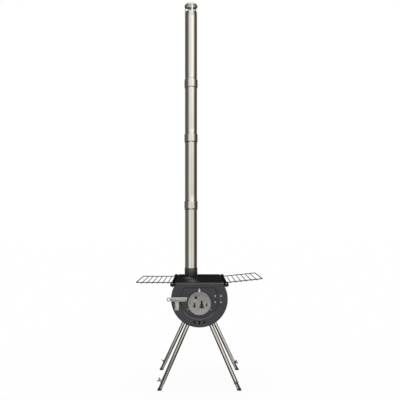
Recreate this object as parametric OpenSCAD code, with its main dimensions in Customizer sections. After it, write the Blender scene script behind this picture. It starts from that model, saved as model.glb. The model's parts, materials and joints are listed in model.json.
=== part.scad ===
// Tent wood stove: a horizontal drum firebox with a flat cooking top, an inset door with a round
// window, two fold-up wire racks, four telescopic legs and a sectional stovepipe with a rain cap.
// Millimetres. +Z is up, the door faces -Y, +X is the right side seen from the door.
// The origin is on the ground, below the middle of the drum.

/* [Drum] */
// Outer radius of the front and rear panels
body_r = 135; // [128:1:142]
// Length of the drum from the front face to the rear face
body_l = 410; // [400:5:460]
// Height of the drum's axis above the ground
axis_z = 444; // [430:1:470]
// Depth of the flat top of the panels below the top of their round edge
flat_drop = 56.5; // [53:0.5:59]
// Sheet thickness of the end panels
panel_t = 1.5; // [1.2:0.1:2]
// Depth of the end panels, front face to the edge of the rim
panel_depth = 16; // [14:1:20]
// Outer bend radius at the edge of the end panels
panel_bend = 4; // [3:0.5:6]
// Sheet thickness of the rolled drum
shell_t = 1.5; // [1:0.1:2]
// Width of the lip on each upper edge of the rolled drum, under the top plate
shell_lip = 12; // [8:1:18]

/* [Top plate and flue collar] */
// How far the cooking plate stands out past the flat top of the drum on each side
plate_over = 4.17; // [2.2:0.01:5.2]
// Thickness of the cooking plate
plate_t = 2.5; // [2:0.1:4]
// Corner radius of the cooking plate
plate_corner_r = 5; // [2:0.5:10]
// How far the plate stays behind the panel faces
plate_inset = 1; // [0.5:0.1:2]
// Sideways place of the flue on the plate
flue_x = -44; // [-50:1:50]
// Distance of the flue from the rear of the drum
flue_from_rear = 122; // [85:1:165]
// Height of the flue collar above the plate
collar_h = 46; // [40:1:70]
// Wall of the flue collar
collar_t = 1.6; // [1.5:0.1:3]
// How far the collar reaches below the plate
collar_below = 6; // [4:1:12]
// Width of the inner ledge that carries the pipe
collar_ledge = 2; // [1.5:0.1:3]

/* [Door] */
// Width of the end panel round the door
door_margin = 45.5; // [44:0.5:48]
// Depth of the door's flat top below the top of its round edge
door_flat_drop = 36; // [34.5:0.5:38.5]
// Radius of the door's upper corners
door_corner_r = 13; // [9:0.5:18]
// Gap between the door and the panel, all round
door_gap = 1.5; // [1.2:0.1:2]
// How far the door's face lies behind the panel's face
door_recess = 2; // [1.5:0.1:3]
// Sheet thickness of the door
door_t = 1.5; // [1:0.1:2]
// Depth of the flange turned in round the door
door_flange = 8; // [6:0.5:10]
// Width of the ledge inside the doorway that the door closes on
door_ledge = 4; // [3:0.5:6]

/* [Door hinge] */
// Height of the hinge as a share of the door's radius
hinge_share = 0.637; // [0.56:0.001:0.7]
// Radius of the hinge knuckles
knuckle_r = 3.5; // [3:0.1:4.2]
// Radius of the hinge pin
hinge_pin_r = 1.5; // [1.2:0.1:2]
// Thickness of the hinge leaves
leaf_t = 1.2; // [1:0.1:1.5]
// Width of each leaf from the pin
leaf_w = 22; // [20:0.5:24]
// Distance of the pin inside the door's edge
hinge_inset = 0.8; // [0.4:0.1:1.2]
// Distance of the rivets from the pin
hinge_rivet_x = 13.5; // [12:0.5:14]

/* [Rivets] */
// Radius of the domed rivet heads
rivet_head_r = 4.2; // [3.5:0.1:5]
// Height of the domed rivet heads
rivet_head_h = 2; // [1.5:0.1:2.5]
// Radius of the rivet shanks
rivet_shank_r = 2; // [1.5:0.1:2.4]

/* [Window] */
// Width of the door round the window cover
cover_margin = 33.7; // [33.5:0.1:35.5]
// Distance of the window's middle below the drum's axis
window_drop = 19.5; // [18:0.5:20]
// Sheet thickness of the window cover
cover_t = 1; // [0.8:0.1:1.2]
// Radius of the raised bead round the cover
cover_bead_r = 1.2; // [1:0.1:1.4]
// Thickness of the glass pane
glass_t = 2.6; // [2:0.1:3]
// Thickness of the gasket behind the glass
gasket_t = 0.8; // [0.5:0.1:1]
// Width of the gasket behind the glass
gasket_w = 4.4; // [3.4:0.1:8.4]
// Width of the clips round the cover
clip_w = 8; // [6:0.5:10]
// Reach of the upper clip from the cover's edge
clip_reach = 13.5; // [12:0.5:14]
// Reach of the lower clips from the cover's edge
low_clip_reach = 10.6; // [10:0.1:13]
// Thickness of the clips
clip_t = 1.2; // [1:0.1:1.5]

/* [Latch] */
// Distance of the latch pivot inside the door's edge
latch_inset = 21.5; // [19.5:0.5:22.5]
// Distance from the latch pivot to the finger eye
latch_reach = 78; // [74:1:84]
// Width of the latch bar
latch_w = 21; // [18:1:23]
// Thickness of the latch bar
latch_t = 3; // [2:0.1:4]
// Outer radius of the finger eye
eye_r = 9.6; // [8:0.2:10]
// Radius of the hole in the finger eye
eye_hole_r = 5; // [4:0.1:5.5]
// Distance of the catch inside the end panel's edge
catch_inset = 27.8; // [25:0.2:29]
// Width of the catch strip
catch_w = 20.6; // [18:0.2:24]
// Length of the catch strip
catch_l = 41; // [36:1:50]
// Thickness of the catch strip
catch_t = 1.5; // [1:0.1:2]

/* [Air slots] */
// Number of air slots below the door
slot_n = 3; // [1:2:5]
// Angle between neighbouring air slots, seen from the drum's axis
slot_step_angle = 12; // [11:0.5:14]
// Distance of the air slots inside the end panel's edge
slot_inset = 23; // [21:1:25]
// Length of an air slot
slot_l = 16; // [10:1:18]
// Width of an air slot
slot_w = 6; // [4:0.5:8]
// Lean of the outer air slots from the vertical
slot_lean_angle = 30; // [0:1:40]

/* [Grate] */
// Height of the fire grate above the bottom of the drum
grate_rise = 36.9; // [32:0.1:42]
// Thickness of the grate
grate_t = 2; // [1.5:0.1:3]
// Number of slots in the grate
grate_slots = 6; // [4:1:8]
// Width of a grate slot
grate_slot_w = 10; // [6:0.5:14]

/* [Racks] */
// Distance of the rack hinge rods outside the cooking plate
rod_out = 14; // [13:0.5:20]
// Radius of the hinge rods
rod_r = 3.2; // [2.6:0.1:3.6]
// Depth of the rods below the underside of the cooking plate
rod_drop = 4.4; // [3.6:0.1:6]
// Radius of the lugs at the ends of the rack brackets
lug_r = 11.5; // [10:0.5:12]
// Distance of the lugs' middle below the rods
lug_drop = 4; // [2:0.5:5]
// Sheet thickness of the rack brackets
bracket_t = 2; // [1.5:0.1:2.5]
// Radius of the rack frame wire
wire_r = 2.3; // [1.5:0.1:2.5]
// Radius of the rack cross wires
cross_r = 1.9; // [1.2:0.05:2]
// Reach of the rack from its rod
rack_reach = 172.5; // [160:0.5:200]
// Depth of the rack along the rod
rack_l = 300; // [240:5:320]
// Number of cross wires under the rack frame
cross_n = 6; // [4:1:6]
// Spacing of the cross wires
cross_pitch = 25.1; // [18:0.1:25.5]
// Length of the cross wires past the front wire
cross_tail = 3.5; // [2:0.5:4]
// Upward tilt of the left rack as it stands
left_tilt_angle = 0; // [0:1:20]
// Upward tilt of the right rack as it stands
right_tilt_angle = 6; // [0:1:20]

/* [Legs] */
// Angle of the front legs from the vertical
front_leg_angle = 23.5; // [18:0.5:28]
// Angle of the rear legs from the vertical
rear_leg_angle = 25.2; // [18:0.2:28]
// Distance of the legs from the front and rear of the drum
leg_inset = 36; // [33:1:55]
// Outer radius of the upper leg tubes
leg_r = 10; // [9:0.5:12]
// Wall of the leg tubes
leg_t = 0.95; // [0.8:0.05:1.5]
// Length outside the drum of the studs that carry the legs
stud_l = 22; // [16:1:30]
// Radius of the buttons that hold the legs on their studs
button_r = 3; // [2:0.1:3.5]
// Length of leg extension that shows, measured to the ground
extension_show = 36; // [34:1:60]
// Length of the leg extensions
extension_l = 232; // [200:1:240]
// Height of the rubber feet along the leg
foot_h = 10; // [9:0.5:16]
// Wall of the rubber feet
foot_t = 0.8; // [0.8:0.1:2]

/* [Wing screws] */
// Distance of the wing screws above the lower end of the upper leg tubes
wing_up = 9; // [8:0.5:12]
// Radius of the wing screw thread
wing_screw_r = 3; // [2.5:0.1:4]
// Distance of each wing tip from the screw's axis
wing_spread = 7.5; // [6:0.5:10]
// Thickness of the wings
wing_t = 2.6; // [2:0.1:4]

/* [Stovepipe] */
// Outer radius of the pipe
pipe_r = 32.5; // [30:0.5:36]
// Wall of the pipe
pipe_t = 0.8; // [0.6:0.1:1.5]
// Length of the first section that shows above the collar
section_1_show = 310; // [200:5:400]
// Length of the second section that shows
section_2_show = 358; // [200:1:400]
// Length of the third section that shows
section_3_show = 291; // [200:1:400]
// Length of the fourth section
section_4_show = 406; // [200:1:450]
// Length of the socket at the foot of each upper section
bell_l = 49; // [35:1:60]
// Wall of the socket
bell_t = 1; // [0.8:0.1:1.5]
// Radius of the rolled beads round the socket
bead_r = 3; // [2:0.1:3.5]
// Height of the lower bead above the socket's lip
bead_low = 12; // [6:0.5:14]
// Height of the upper bead above the socket's lip
bead_high = 40; // [20:0.5:42]

/* [Rain cap] */
// How far the rain cap's rim stands out past the pipe
cap_overhang = 2.9; // [2.6:0.1:12]
// Height of the rain cap's dome
cap_h = 18.5; // [18:1:26]
// Radius of the rain cap's shoulder
cap_shoulder_r = 14; // [11:0.5:16]
// Sheet thickness of the rain cap
cap_t = 0.8; // [0.6:0.1:1.2]
// Opening between the pipe's rim and the rain cap
cap_lift = 29.5; // [15:1:40]
// Width of the cap's straps
strap_w = 8; // [6:0.5:10]
// Thickness of the cap's straps
strap_t = 1; // [0.8:0.1:1.2]
// Length of strap on the pipe
strap_grip = 26; // [16:1:40]

/* [Hidden] */
$fn = 96;

// Overrun of every cut
over = 1;
// Clearance of pieces that sit in or on each other
seat_gap = 0.1;
// Clearance of pins, rods and tubes that turn or slide
run_gap = 0.05;
// Clearance between faces that meet when something closes
rest_gap = 0.3;

charcoal = [0.27, 0.27, 0.29];
black = [0.09, 0.09, 0.1];
steel = [0.75, 0.74, 0.72];
brushed = [0.6, 0.6, 0.59];
wire_grey = [0.38, 0.38, 0.38];
rubber = [0.12, 0.12, 0.12];

// Drum
front_y = -body_l / 2;
rear_y = body_l / 2;
flat_h = body_r - flat_drop;
plate_bottom_z = axis_z + flat_h;
plate_top_z = plate_bottom_z + plate_t;
shell_r = body_r - panel_t - seat_gap;
shell_in_r = shell_r - shell_t;
shell_end = body_l / 2 - panel_bend - seat_gap;
rim_end = body_l / 2 - panel_depth - rest_gap;
plate_w = 2 * (sqrt(pow(body_r, 2) - pow(flat_h, 2)) + plate_over);

// Flue collar
flue_y = rear_y - flue_from_rear;
collar_in_r = pipe_r + seat_gap;
collar_r = collar_in_r + collar_t;
collar_top_z = plate_top_z + collar_h;

// Doorway and hinge
door_r = body_r - door_margin;
door_flat_h = door_r - door_flat_drop;
// How far the circles of the door's upper corners stand out past its round edge, so that the arcs cross
corner_out = 0.3;
opening_depth = door_recess + door_flange + rest_gap;
door_y = front_y + door_recess;
hinge_x = door_r - hinge_inset;
pin_y = front_y - knuckle_r - rest_gap;
hinge_h = hinge_share * door_r;
hinge_rivet_z = hinge_h / 4;
end_knuckle_h = hinge_h / 4;
leaf_clear = 2 * rest_gap;
pin_head_r = hinge_pin_r + leaf_t;
pin_head_h = leaf_t;
rivet_tail_r = 1.5 * rivet_shank_r;
rivet_tail_h = rivet_head_h / 2;

// Window, stacked outward from the door's face
cover_r = door_r - cover_margin;
window_z = axis_z - window_drop;
glass_back_y = door_y - gasket_t;
cover_back_y = glass_back_y - glass_t;
cover_y = cover_back_y - cover_t;
cover_bead_raise = cover_bead_r / 2;
glass_r = cover_r - 2 * cover_bead_r;
window_r = glass_r - gasket_w;
clip_lap = 2.4;
clip_turns = [90, 208, 332];
clip_screw_r = 1.5;
clip_head_r = 2.7;
clip_head_h = 1.4;
// Distance of a clip's screw from the window's middle
function clip_screw_at(turn) = cover_r + (turn == 90 ? clip_reach : low_clip_reach) - clip_w / 2;

// Cut-outs of the cover: the right half of a fir tree, in shares of its height
fir_outline_shares = [[0.045, 0], [0.045, 0.14], [0.3, 0.14], [0.1, 0.42], [0.23, 0.42],
                      [0.07, 0.69], [0.16, 0.69], [0, 1]];
// Middle, foot and height of each fir tree, in shares of the cover's radius
fir_place_shares = [[0.2, -0.5, 0.8], [-0.42, -0.4, 0.5], [0.62, -0.28, 0.36]];
// Middle and radius of the moon, in shares of the cover's radius
moon_shares = [-0.3, 0.48, 0.13];

// Latch and catch
latch_pivot_x = door_r - latch_inset;
catch_x = body_r - catch_inset;
latch_clear = 0.4;
latch_drop = 0.5;
latch_back_y = cover_y - cover_bead_raise - latch_clear;
latch_front_y = latch_back_y - latch_t;
latch_z = axis_z - latch_drop;
latch_end = 10.5;
latch_slant = 2.5;
pivot_r = 3;
pivot_boss_r = 7;
pivot_head_r = 4.5;
pivot_head_h = 1;
catch_top_z = latch_z - latch_w / 2 - rest_gap;
catch_shelf_y = latch_front_y - catch_t;
catch_rivet_drop = 17.5;
catch_rivet_r = 1.5;
catch_head_r = 2.8;
catch_head_h = 0.8;

// Air slots and grate
slot_drop = body_r - slot_inset;
grate_drop = shell_in_r - grate_rise;
grate_w = 2 * (sqrt(pow(shell_in_r, 2) - pow(grate_drop + grate_t, 2)) - seat_gap);
grate_end = rim_end;
grate_bridge = 12;

// Rack brackets, rods and racks
rod_x = plate_w / 2 + rod_out;
rod_z = plate_bottom_z - rod_drop;
eye_ring_r = rod_r + run_gap + wire_r;
shelf_top_z = rod_z - eye_ring_r - wire_r - rest_gap;
upright_gap = 1.5;
upright_x = plate_w / 2 + upright_gap;
upright_top_z = plate_bottom_z - upright_gap;
rod_head_r = 4.4;
rod_head_h = 1.2;
rack_front_y = front_y + upright_gap / 2 + wire_r;
rack_rear_y = rack_front_y + rack_l;
rack_tail = 9;
weld_sink = 0.4;
cross_z = eye_ring_r - wire_r - cross_r + weld_sink;

// Legs. Sides are -1 on the left and 1 on the right, ends are -1 in front and 1 at the rear.
left = -1;
right = 1;
front = -1;
rear = 1;
leg_y = body_l / 2 - leg_inset;
ext_r = leg_r - leg_t - run_gap;
foot_r = ext_r + run_gap + foot_t;
foot_sole = 6;
leg_top = shell_r + rest_gap;
stud_r = leg_r - leg_t - run_gap;
button_at = body_r + 8;
button_sink = 5;
button_h = 1.4;

// Wing screws
wing_boss_r = 6;
wing_boss_h = 4;
wing_hub_r = 4.5;
wing_hub_h = 6;
wing_root_r = 2.6;
wing_tip_r = 3.2;
wing_rise = 8;

// Stovepipe
pipe_in_r = pipe_r - pipe_t;
bell_in_r = pipe_r + seat_gap;
bell_r = bell_in_r + bell_t;
bead_at_r = bell_in_r;
bell_shoulder = bell_l - 2 * bell_t;
lip_2_z = collar_top_z + section_1_show;
lip_3_z = lip_2_z + section_2_show;
lip_4_z = lip_3_z + section_3_show;
pipe_top_z = lip_4_z + section_4_show;

// Rain cap
cap_r = pipe_r + cap_overhang;
cap_z = pipe_top_z + cap_lift;
cap_crown_r = (pow(cap_r, 2) + pow(cap_h, 2) - 2 * cap_r * cap_shoulder_r)
            / (2 * (cap_h - cap_shoulder_r));
strap_turns = [11.5, 131.5, 251.5];
strap_in_r = pipe_r + seat_gap;
strap_out_r = strap_in_r + strap_t;
strap_corner_r = norm([strap_out_r, strap_w / 2]) + seat_gap;
strap_top_z = cap_z - seat_gap
            + sqrt(pow(cap_shoulder_r - cap_t, 2) - pow(strap_corner_r - cap_r + cap_shoulder_r, 2));
strap_rivet_share = 0.7;
strap_rivet_z = pipe_top_z - strap_rivet_share * strap_grip;
strap_rivet_r = 1.6;
strap_head_r = 3;
strap_head_h = 1.2;

function leg_angle(end) = end == front ? front_leg_angle : rear_leg_angle;
// Distance from the drum's axis to the ground along a leg
function leg_foot(end) = axis_z / cos(leg_angle(end));
// Distance from the drum's axis to the lower end of an upper leg tube
function tube_end(end) = leg_foot(end) - extension_show;
// Where a wing screw points, turned round the leg from +X, and how it is turned in its thread
function wing_turn(side, end) = end == front ? (side == left ? 180 : -90) : (side == left ? 123 : -40);
function wing_twist(side, end) = side == end ? 0 : 90;
// Where a leg's button points, turned round the leg from +X
function button_turn(side, end) = end * (90 - side * 36);

// A box between two corners
module block(low, high) {
    translate(low) cube(high - low);
}

// A flat shape, drawn from the drum's axis in X and Z, given thickness from y0 back to y1
module slab(y0, y1) {
    translate([0, y1, axis_z]) rotate([90, 0, 0]) linear_extrude(height = y1 - y0) children();
}

// A round bar along Y through x and z
module bar_y(x, z, r, y0, y1) {
    translate([x, y0, z]) rotate([-90, 0, 0]) cylinder(r = r, h = y1 - y0);
}

// A flat stroke between two points that widens from w0 to w1, with round ends
module stroke(p, q, w0, w1) {
    along = (q - p) / norm(q - p);
    across = [-along[1], along[0]];
    polygon([p + across * w0, p - across * w0, q - across * w1, q + across * w1]);
    translate(p) circle(r = w0);
    translate(q) circle(r = w1);
}

// The cap of a ball, standing on z = 0
module dome(r, h) {
    ball_r = (pow(r, 2) + pow(h, 2)) / (2 * h);
    intersection() {
        translate([0, 0, h - ball_r]) sphere(r = ball_r);
        cylinder(r = r + over, h = h + over);
    }
}

// A domed fastener whose head stands out towards -Y from the face at y, with its shank to y + grip
module domed_pin(x, y, z, head_r, head_h, r, grip) {
    translate([x, y, z]) rotate([90, 0, 0]) dome(head_r, head_h);
    bar_y(x, z, r, y - head_h / 2, y + grip);
}

// A rivet through a stack of sheets, with its formed end behind them
module rivet(x, y, z, grip) {
    domed_pin(x, y, z, rivet_head_r, rivet_head_h, rivet_shank_r, grip + rivet_tail_h / 2);
    bar_y(x, z, rivet_tail_r, y + grip, y + grip + rivet_tail_h);
}

module rivet_hole(x, z, y0, y1) {
    bar_y(x, z, rivet_shank_r + run_gap, y0 - over, y1 + over);
}

module hinge_rivet_places(side) {
    for (end = [-1, 1]) {
        translate([hinge_x + side * hinge_rivet_x, 0, axis_z + end * hinge_rivet_z]) children();
    }
}

// The filled shape of an end panel: a turned disc with a flat top, all edges of its face rounded
module panel_blank(r, h, bend, face_y, depth) {
    intersection() {
        union() {
            bar_y(0, axis_z, r, face_y + bend, face_y + depth);
            bar_y(0, axis_z, r - bend, face_y, face_y + depth);
            translate([0, face_y + bend, axis_z]) rotate([90, 0, 0]) rotate_extrude()
                translate([r - bend, 0]) circle(r = bend);
        }
        union() {
            block([-r - over, face_y + bend, axis_z - r - over], [r + over, face_y + depth, axis_z + h]);
            block([-r - over, face_y, axis_z - r - over], [r + over, face_y + depth, axis_z + h - bend]);
            translate([-r - over, face_y + bend, axis_z + h - bend]) rotate([0, 90, 0])
                cylinder(r = bend, h = 2 * (r + over));
        }
    }
}

// An end panel that faces -Y
module end_panel() {
    difference() {
        panel_blank(body_r, flat_h, panel_bend, front_y, panel_depth);
        panel_blank(body_r - panel_t, flat_h - panel_t, panel_bend - panel_t,
                    front_y + panel_t, panel_depth);
    }
}

// The door's outline, round with a flat top and rounded corners, grown by the given amount
module door_outline(grow) {
    corner_h = door_flat_h - door_corner_r;
    corner_x = sqrt(pow(door_r - door_corner_r + corner_out, 2) - pow(corner_h, 2));
    turn = atan2(corner_h, corner_x);
    far = 2 * body_r;
    difference() {
        intersection() {
            circle(r = door_r + grow);
            translate([-far, -far]) square([2 * far, far + door_flat_h + grow]);
        }
        for (side = [0, 1]) mirror([side, 0]) translate([corner_x, corner_h]) difference() {
            polygon([[0, 0], far * [cos(turn), sin(turn)], [far, far], [0, far]]);
            circle(r = door_corner_r + grow);
        }
    }
}

module barrel_shell() {
    color(black) difference() {
        union() {
            intersection() {
                difference() {
                    bar_y(0, axis_z, shell_r, -shell_end, shell_end);
                    bar_y(0, axis_z, shell_in_r, -shell_end - over, shell_end + over);
                }
                block([-body_r, -shell_end, axis_z - body_r],
                      [body_r, shell_end, plate_bottom_z - seat_gap]);
            }
            lip_x = sqrt(pow(shell_in_r, 2) - pow(flat_h - shell_t, 2));
            for (side = [-1, 1]) {
                low_x = side == left ? -lip_x - shell_t / 2 : lip_x - shell_lip;
                block([low_x, -rim_end, plate_bottom_z - seat_gap - shell_t],
                      [low_x + shell_lip + shell_t / 2, rim_end, plate_bottom_z - seat_gap]);
            }
        }
        // The ends of the drum pass under the folded tops of the panels
        for (end = [-1, 1]) {
            near_y = end == front ? -body_l / 2 : rim_end;
            block([-body_r, near_y, plate_bottom_z - panel_t - 2 * seat_gap],
                  [body_r, near_y + panel_depth + rest_gap, plate_bottom_z + over]);
        }
    }
}

module front_panel() {
    color(charcoal) difference() {
        union() {
            end_panel();
            slab(front_y + panel_t / 2, front_y + opening_depth + panel_t) door_outline(door_gap + panel_t);
        }
        slab(front_y - over, front_y + opening_depth) door_outline(door_gap);
        slab(front_y, front_y + opening_depth + panel_t + over) door_outline(-door_ledge);
        slab(front_y - over, front_y + panel_t + over) for (i = [0 : slot_n - 1]) {
            place = i - (slot_n - 1) / 2;
            turn = place * slot_step_angle;
            translate([slot_drop * sin(turn), -slot_drop * cos(turn)]) rotate(-sign(place) * slot_lean_angle)
                stroke([0, (slot_w - slot_l) / 2], [0, (slot_l - slot_w) / 2], slot_w / 2, slot_w / 2);
        }
        hinge_rivet_places(1) rivet_hole(0, 0, front_y, front_y + panel_t);
        catch_rivet_hole();
    }
}

module rear_panel() {
    color(charcoal) mirror([0, 1, 0]) end_panel();
}

module top_plate() {
    half_w = plate_w / 2 - plate_corner_r;
    half_l = body_l / 2 - plate_inset - plate_corner_r;
    color(black) translate([0, 0, plate_bottom_z]) linear_extrude(height = plate_t) difference() {
        union() {
            square([2 * half_w, 2 * (half_l + plate_corner_r)], center = true);
            square([2 * (half_w + plate_corner_r), 2 * half_l], center = true);
            for (x = [-half_w, half_w], y = [-half_l, half_l]) translate([x, y]) circle(r = plate_corner_r);
        }
        translate([flue_x, flue_y]) circle(r = collar_r + seat_gap);
    }
}

module flue_collar() {
    color(black) translate([flue_x, flue_y, plate_top_z]) rotate_extrude() {
        translate([collar_in_r, -collar_below]) square([collar_t, collar_below + collar_h]);
        translate([pipe_in_r - collar_ledge, -collar_t])
            square([collar_in_r + collar_t / 2 - pipe_in_r + collar_ledge, collar_t]);
    }
}

module fire_grate() {
    pitch = (grate_w - grate_bridge) / grate_slots;
    slot_half = grate_end - grate_bridge - grate_slot_w / 2;
    color(black) translate([0, 0, axis_z - grate_drop - grate_t]) linear_extrude(height = grate_t)
        difference() {
            square([grate_w, 2 * grate_end], center = true);
            for (i = [0 : grate_slots - 1]) translate([(i - (grate_slots - 1) / 2) * pitch, 0])
                for (end = [-1, 1])
                    stroke([0, end * grate_bridge], [0, end * slot_half],
                           grate_slot_w / 2, grate_slot_w / 2);
        }
}

// A rack bracket: an angle along the drum with a round lug at each end
module rack_bracket(side) {
    color(black) mirror([side == left ? 1 : 0, 0, 0]) difference() {
        union() {
            block([upright_x, front_y, shelf_top_z - bracket_t], [rod_x + lug_r, rear_y, shelf_top_z]);
            block([upright_x, front_y, shelf_top_z - bracket_t],
                  [upright_x + bracket_t, rear_y, upright_top_z]);
            for (y = [front_y - bracket_t, rear_y]) {
                bar_y(rod_x, rod_z - lug_drop, lug_r, y, y + bracket_t);
            }
            block([rod_x - lug_r / 2, front_y - bracket_t, shelf_top_z - bracket_t],
                  [rod_x + lug_r / 2, front_y + over, shelf_top_z]);
            block([rod_x - lug_r / 2, rear_y - over, shelf_top_z - bracket_t],
                  [rod_x + lug_r / 2, rear_y + bracket_t, shelf_top_z]);
        }
        bar_y(0, axis_z, body_r + seat_gap, front_y - bracket_t - over, rear_y + bracket_t + over);
        bar_y(rod_x, rod_z, rod_r + run_gap, front_y - bracket_t - over, rear_y + bracket_t + over);
    }
}

module rack_rod(side) {
    color(steel) {
        bar_y(side * rod_x, rod_z, rod_r, front_y - bracket_t - rod_head_h, rear_y + bracket_t + rod_head_h);
        for (end = [-1, 1]) translate([side * rod_x, end * (rear_y + bracket_t + run_gap), rod_z])
            rotate([-90 * end, 0, 0]) dome(rod_head_r, rod_head_h);
    }
}

// A wire rack, drawn from its rod outwards along +X
module rack(side, tilt) {
    color(wire_grey) translate([side * rod_x, 0, rod_z]) mirror([side == left ? 1 : 0, 0, 0])
        rotate([0, -tilt, 0]) {
            for (y = [rack_front_y, rack_rear_y]) {
                translate([0, y, eye_ring_r]) rotate([0, 90, 0]) cylinder(r = wire_r, h = rack_reach);
                translate([0, y, 0]) rotate([90, 0, 0]) rotate_extrude()
                    translate([eye_ring_r, 0]) circle(r = wire_r);
                translate([0, y, -eye_ring_r]) rotate([0, 90, 0]) cylinder(r = wire_r, h = rack_tail);
                translate([rack_reach, y, eye_ring_r]) sphere(r = wire_r);
            }
            bar_y(rack_reach, eye_ring_r, wire_r, rack_front_y, rack_rear_y);
            for (i = [1 : cross_n])
                bar_y(rack_reach - i * cross_pitch, cross_z, cross_r,
                      rack_front_y - cross_tail, rack_rear_y + wire_r);
        }
}

module door_panel() {
    color(charcoal) difference() {
        union() {
            slab(door_y, door_y + door_t) door_outline(0);
            slab(door_y + door_t / 2, door_y + door_flange) difference() {
                door_outline(0);
                door_outline(-door_t);
            }
        }
        bar_y(0, window_z, window_r, door_y - over, door_y + door_t + over);
        hinge_rivet_places(-1) rivet_hole(0, 0, door_y, door_y + door_t);
        bar_y(-latch_pivot_x, latch_z, pivot_r + run_gap, door_y - over, door_y + door_t + over);
        window_clip_places() rotate([90, 0, 0])
            translate([clip_screw_at($clip), 0, -door_y - door_t - over])
                cylinder(r = clip_screw_r + run_gap, h = door_t + 2 * over);
    }
}

// Turns what is drawn along +X from the window's middle to each clip
module window_clip_places() {
    for ($clip = clip_turns) translate([0, 0, window_z]) rotate([0, -$clip, 0]) children();
}

// One knuckle of the hinge, from the lower to the upper end
module knuckle(low, high) {
    translate([hinge_x, pin_y, axis_z + low]) cylinder(r = knuckle_r, h = high - low);
}

module pin_bore(clearance) {
    translate([hinge_x, pin_y, axis_z - hinge_h / 2 - over])
        cylinder(r = hinge_pin_r + clearance, h = hinge_h + 2 * over);
}

module hinge_leaf_body() {
    half = hinge_h / 2;
    color(charcoal) difference() {
        union() {
            block([hinge_x, front_y - leaf_t, axis_z - half], [hinge_x + leaf_w, front_y, axis_z + half]);
            knuckle(-half, -half + end_knuckle_h);
            knuckle(half - end_knuckle_h, half);
        }
        block([hinge_x - over, front_y - leaf_t - over, axis_z - half + end_knuckle_h],
              [hinge_x + knuckle_r + leaf_clear, front_y + over, axis_z + half - end_knuckle_h]);
        pin_bore(run_gap);
        hinge_rivet_places(1) rivet_hole(0, 0, front_y - leaf_t, front_y);
    }
}

module hinge_leaf_door() {
    half = hinge_h / 2;
    mid = half - end_knuckle_h - rest_gap;
    color(charcoal) difference() {
        union() {
            block([hinge_x - leaf_w, door_y - leaf_t, axis_z - half],
                  [hinge_x - knuckle_r - leaf_clear, door_y, axis_z + half]);
            block([hinge_x - knuckle_r - leaf_clear - leaf_t, pin_y, axis_z - mid],
                  [hinge_x - knuckle_r - leaf_clear, door_y, axis_z + mid]);
            block([hinge_x - knuckle_r - leaf_clear - leaf_t, pin_y - leaf_t / 2, axis_z - mid],
                  [hinge_x - knuckle_r / 2, pin_y + leaf_t / 2, axis_z + mid]);
            knuckle(-mid, mid);
        }
        pin_bore(run_gap);
        hinge_rivet_places(-1) rivet_hole(0, 0, door_y - leaf_t, door_y);
    }
}

module hinge_pin() {
    color(charcoal) {
        translate([hinge_x, pin_y, axis_z - hinge_h / 2 - pin_head_h])
            cylinder(r = hinge_pin_r, h = hinge_h + 2 * pin_head_h);
        for (end = [-1, 1]) translate([hinge_x, pin_y, axis_z + end * (hinge_h / 2 + run_gap)])
            rotate([end == rear ? 0 : 180, 0, 0]) dome(pin_head_r, pin_head_h);
    }
}

module body_hinge_rivets() {
    color(steel) hinge_rivet_places(1) rivet(0, front_y - leaf_t, 0, leaf_t + panel_t);
}

module door_hinge_rivets() {
    color(steel) hinge_rivet_places(-1) rivet(0, door_y - leaf_t, 0, leaf_t + door_t);
}

module window_gasket() {
    color(rubber) difference() {
        bar_y(0, window_z, glass_r, glass_back_y, door_y);
        bar_y(0, window_z, window_r, glass_back_y - over, door_y + over);
    }
}

module window_glass() {
    color([0.15, 0.15, 0.15, 0.6]) bar_y(0, window_z, glass_r - seat_gap, cover_back_y, glass_back_y);
}

// A fir tree of the given height, standing on y = 0
module fir(h) {
    n = len(fir_outline_shares);
    polygon(concat(
        [for (p = fir_outline_shares) p * h],
        [for (i = [n - 2 : -1 : 0]) [-fir_outline_shares[i][0], fir_outline_shares[i][1]] * h]
    ));
}

// The cover is a shallow dish over the glass, with a beaded edge
module window_cover() {
    wall = 2 * cover_bead_r;
    color(brushed) difference() {
        union() {
            bar_y(0, window_z, cover_r - cover_bead_r, cover_y, cover_back_y);
            translate([0, door_y, window_z]) rotate([90, 0, 0]) rotate_extrude() {
                translate([cover_r - wall, seat_gap])
                    square([wall, door_y - cover_y - cover_bead_raise - seat_gap]);
                translate([cover_r - cover_bead_r, door_y - cover_y - cover_bead_raise])
                    circle(r = cover_bead_r);
            }
        }
        translate([0, 0, -window_drop]) slab(cover_y - over, cover_back_y + over) {
            for (place = fir_place_shares) translate([place[0], place[1]] * cover_r) fir(place[2] * cover_r);
            translate([moon_shares[0], moon_shares[1]] * cover_r) circle(r = moon_shares[2] * cover_r);
        }
    }
}

// Each clip hooks over the cover's bead and is screwed to the door
module window_clips() {
    bead_y = cover_y - cover_bead_raise - seat_gap;
    color(steel) window_clip_places() difference() {
        union() {
            block([cover_r - clip_lap, bead_y - clip_t, -clip_w / 2],
                  [cover_r + seat_gap + clip_t, bead_y, clip_w / 2]);
            block([cover_r + seat_gap, bead_y - clip_t, -clip_w / 2],
                  [cover_r + seat_gap + clip_t, door_y, clip_w / 2]);
            block([cover_r + seat_gap, door_y - clip_t, -clip_w / 2],
                  [clip_screw_at($clip), door_y, clip_w / 2]);
            bar_y(clip_screw_at($clip), 0, clip_w / 2, door_y - clip_t, door_y);
        }
        bar_y(clip_screw_at($clip), 0, clip_screw_r + run_gap, door_y - clip_t - over, door_y + over);
    }
}

module clip_screws() {
    color(steel) window_clip_places()
        domed_pin(clip_screw_at($clip), door_y - clip_t, 0, clip_head_r, clip_head_h,
                  clip_screw_r, clip_t + door_t + clip_head_h);
}

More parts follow.
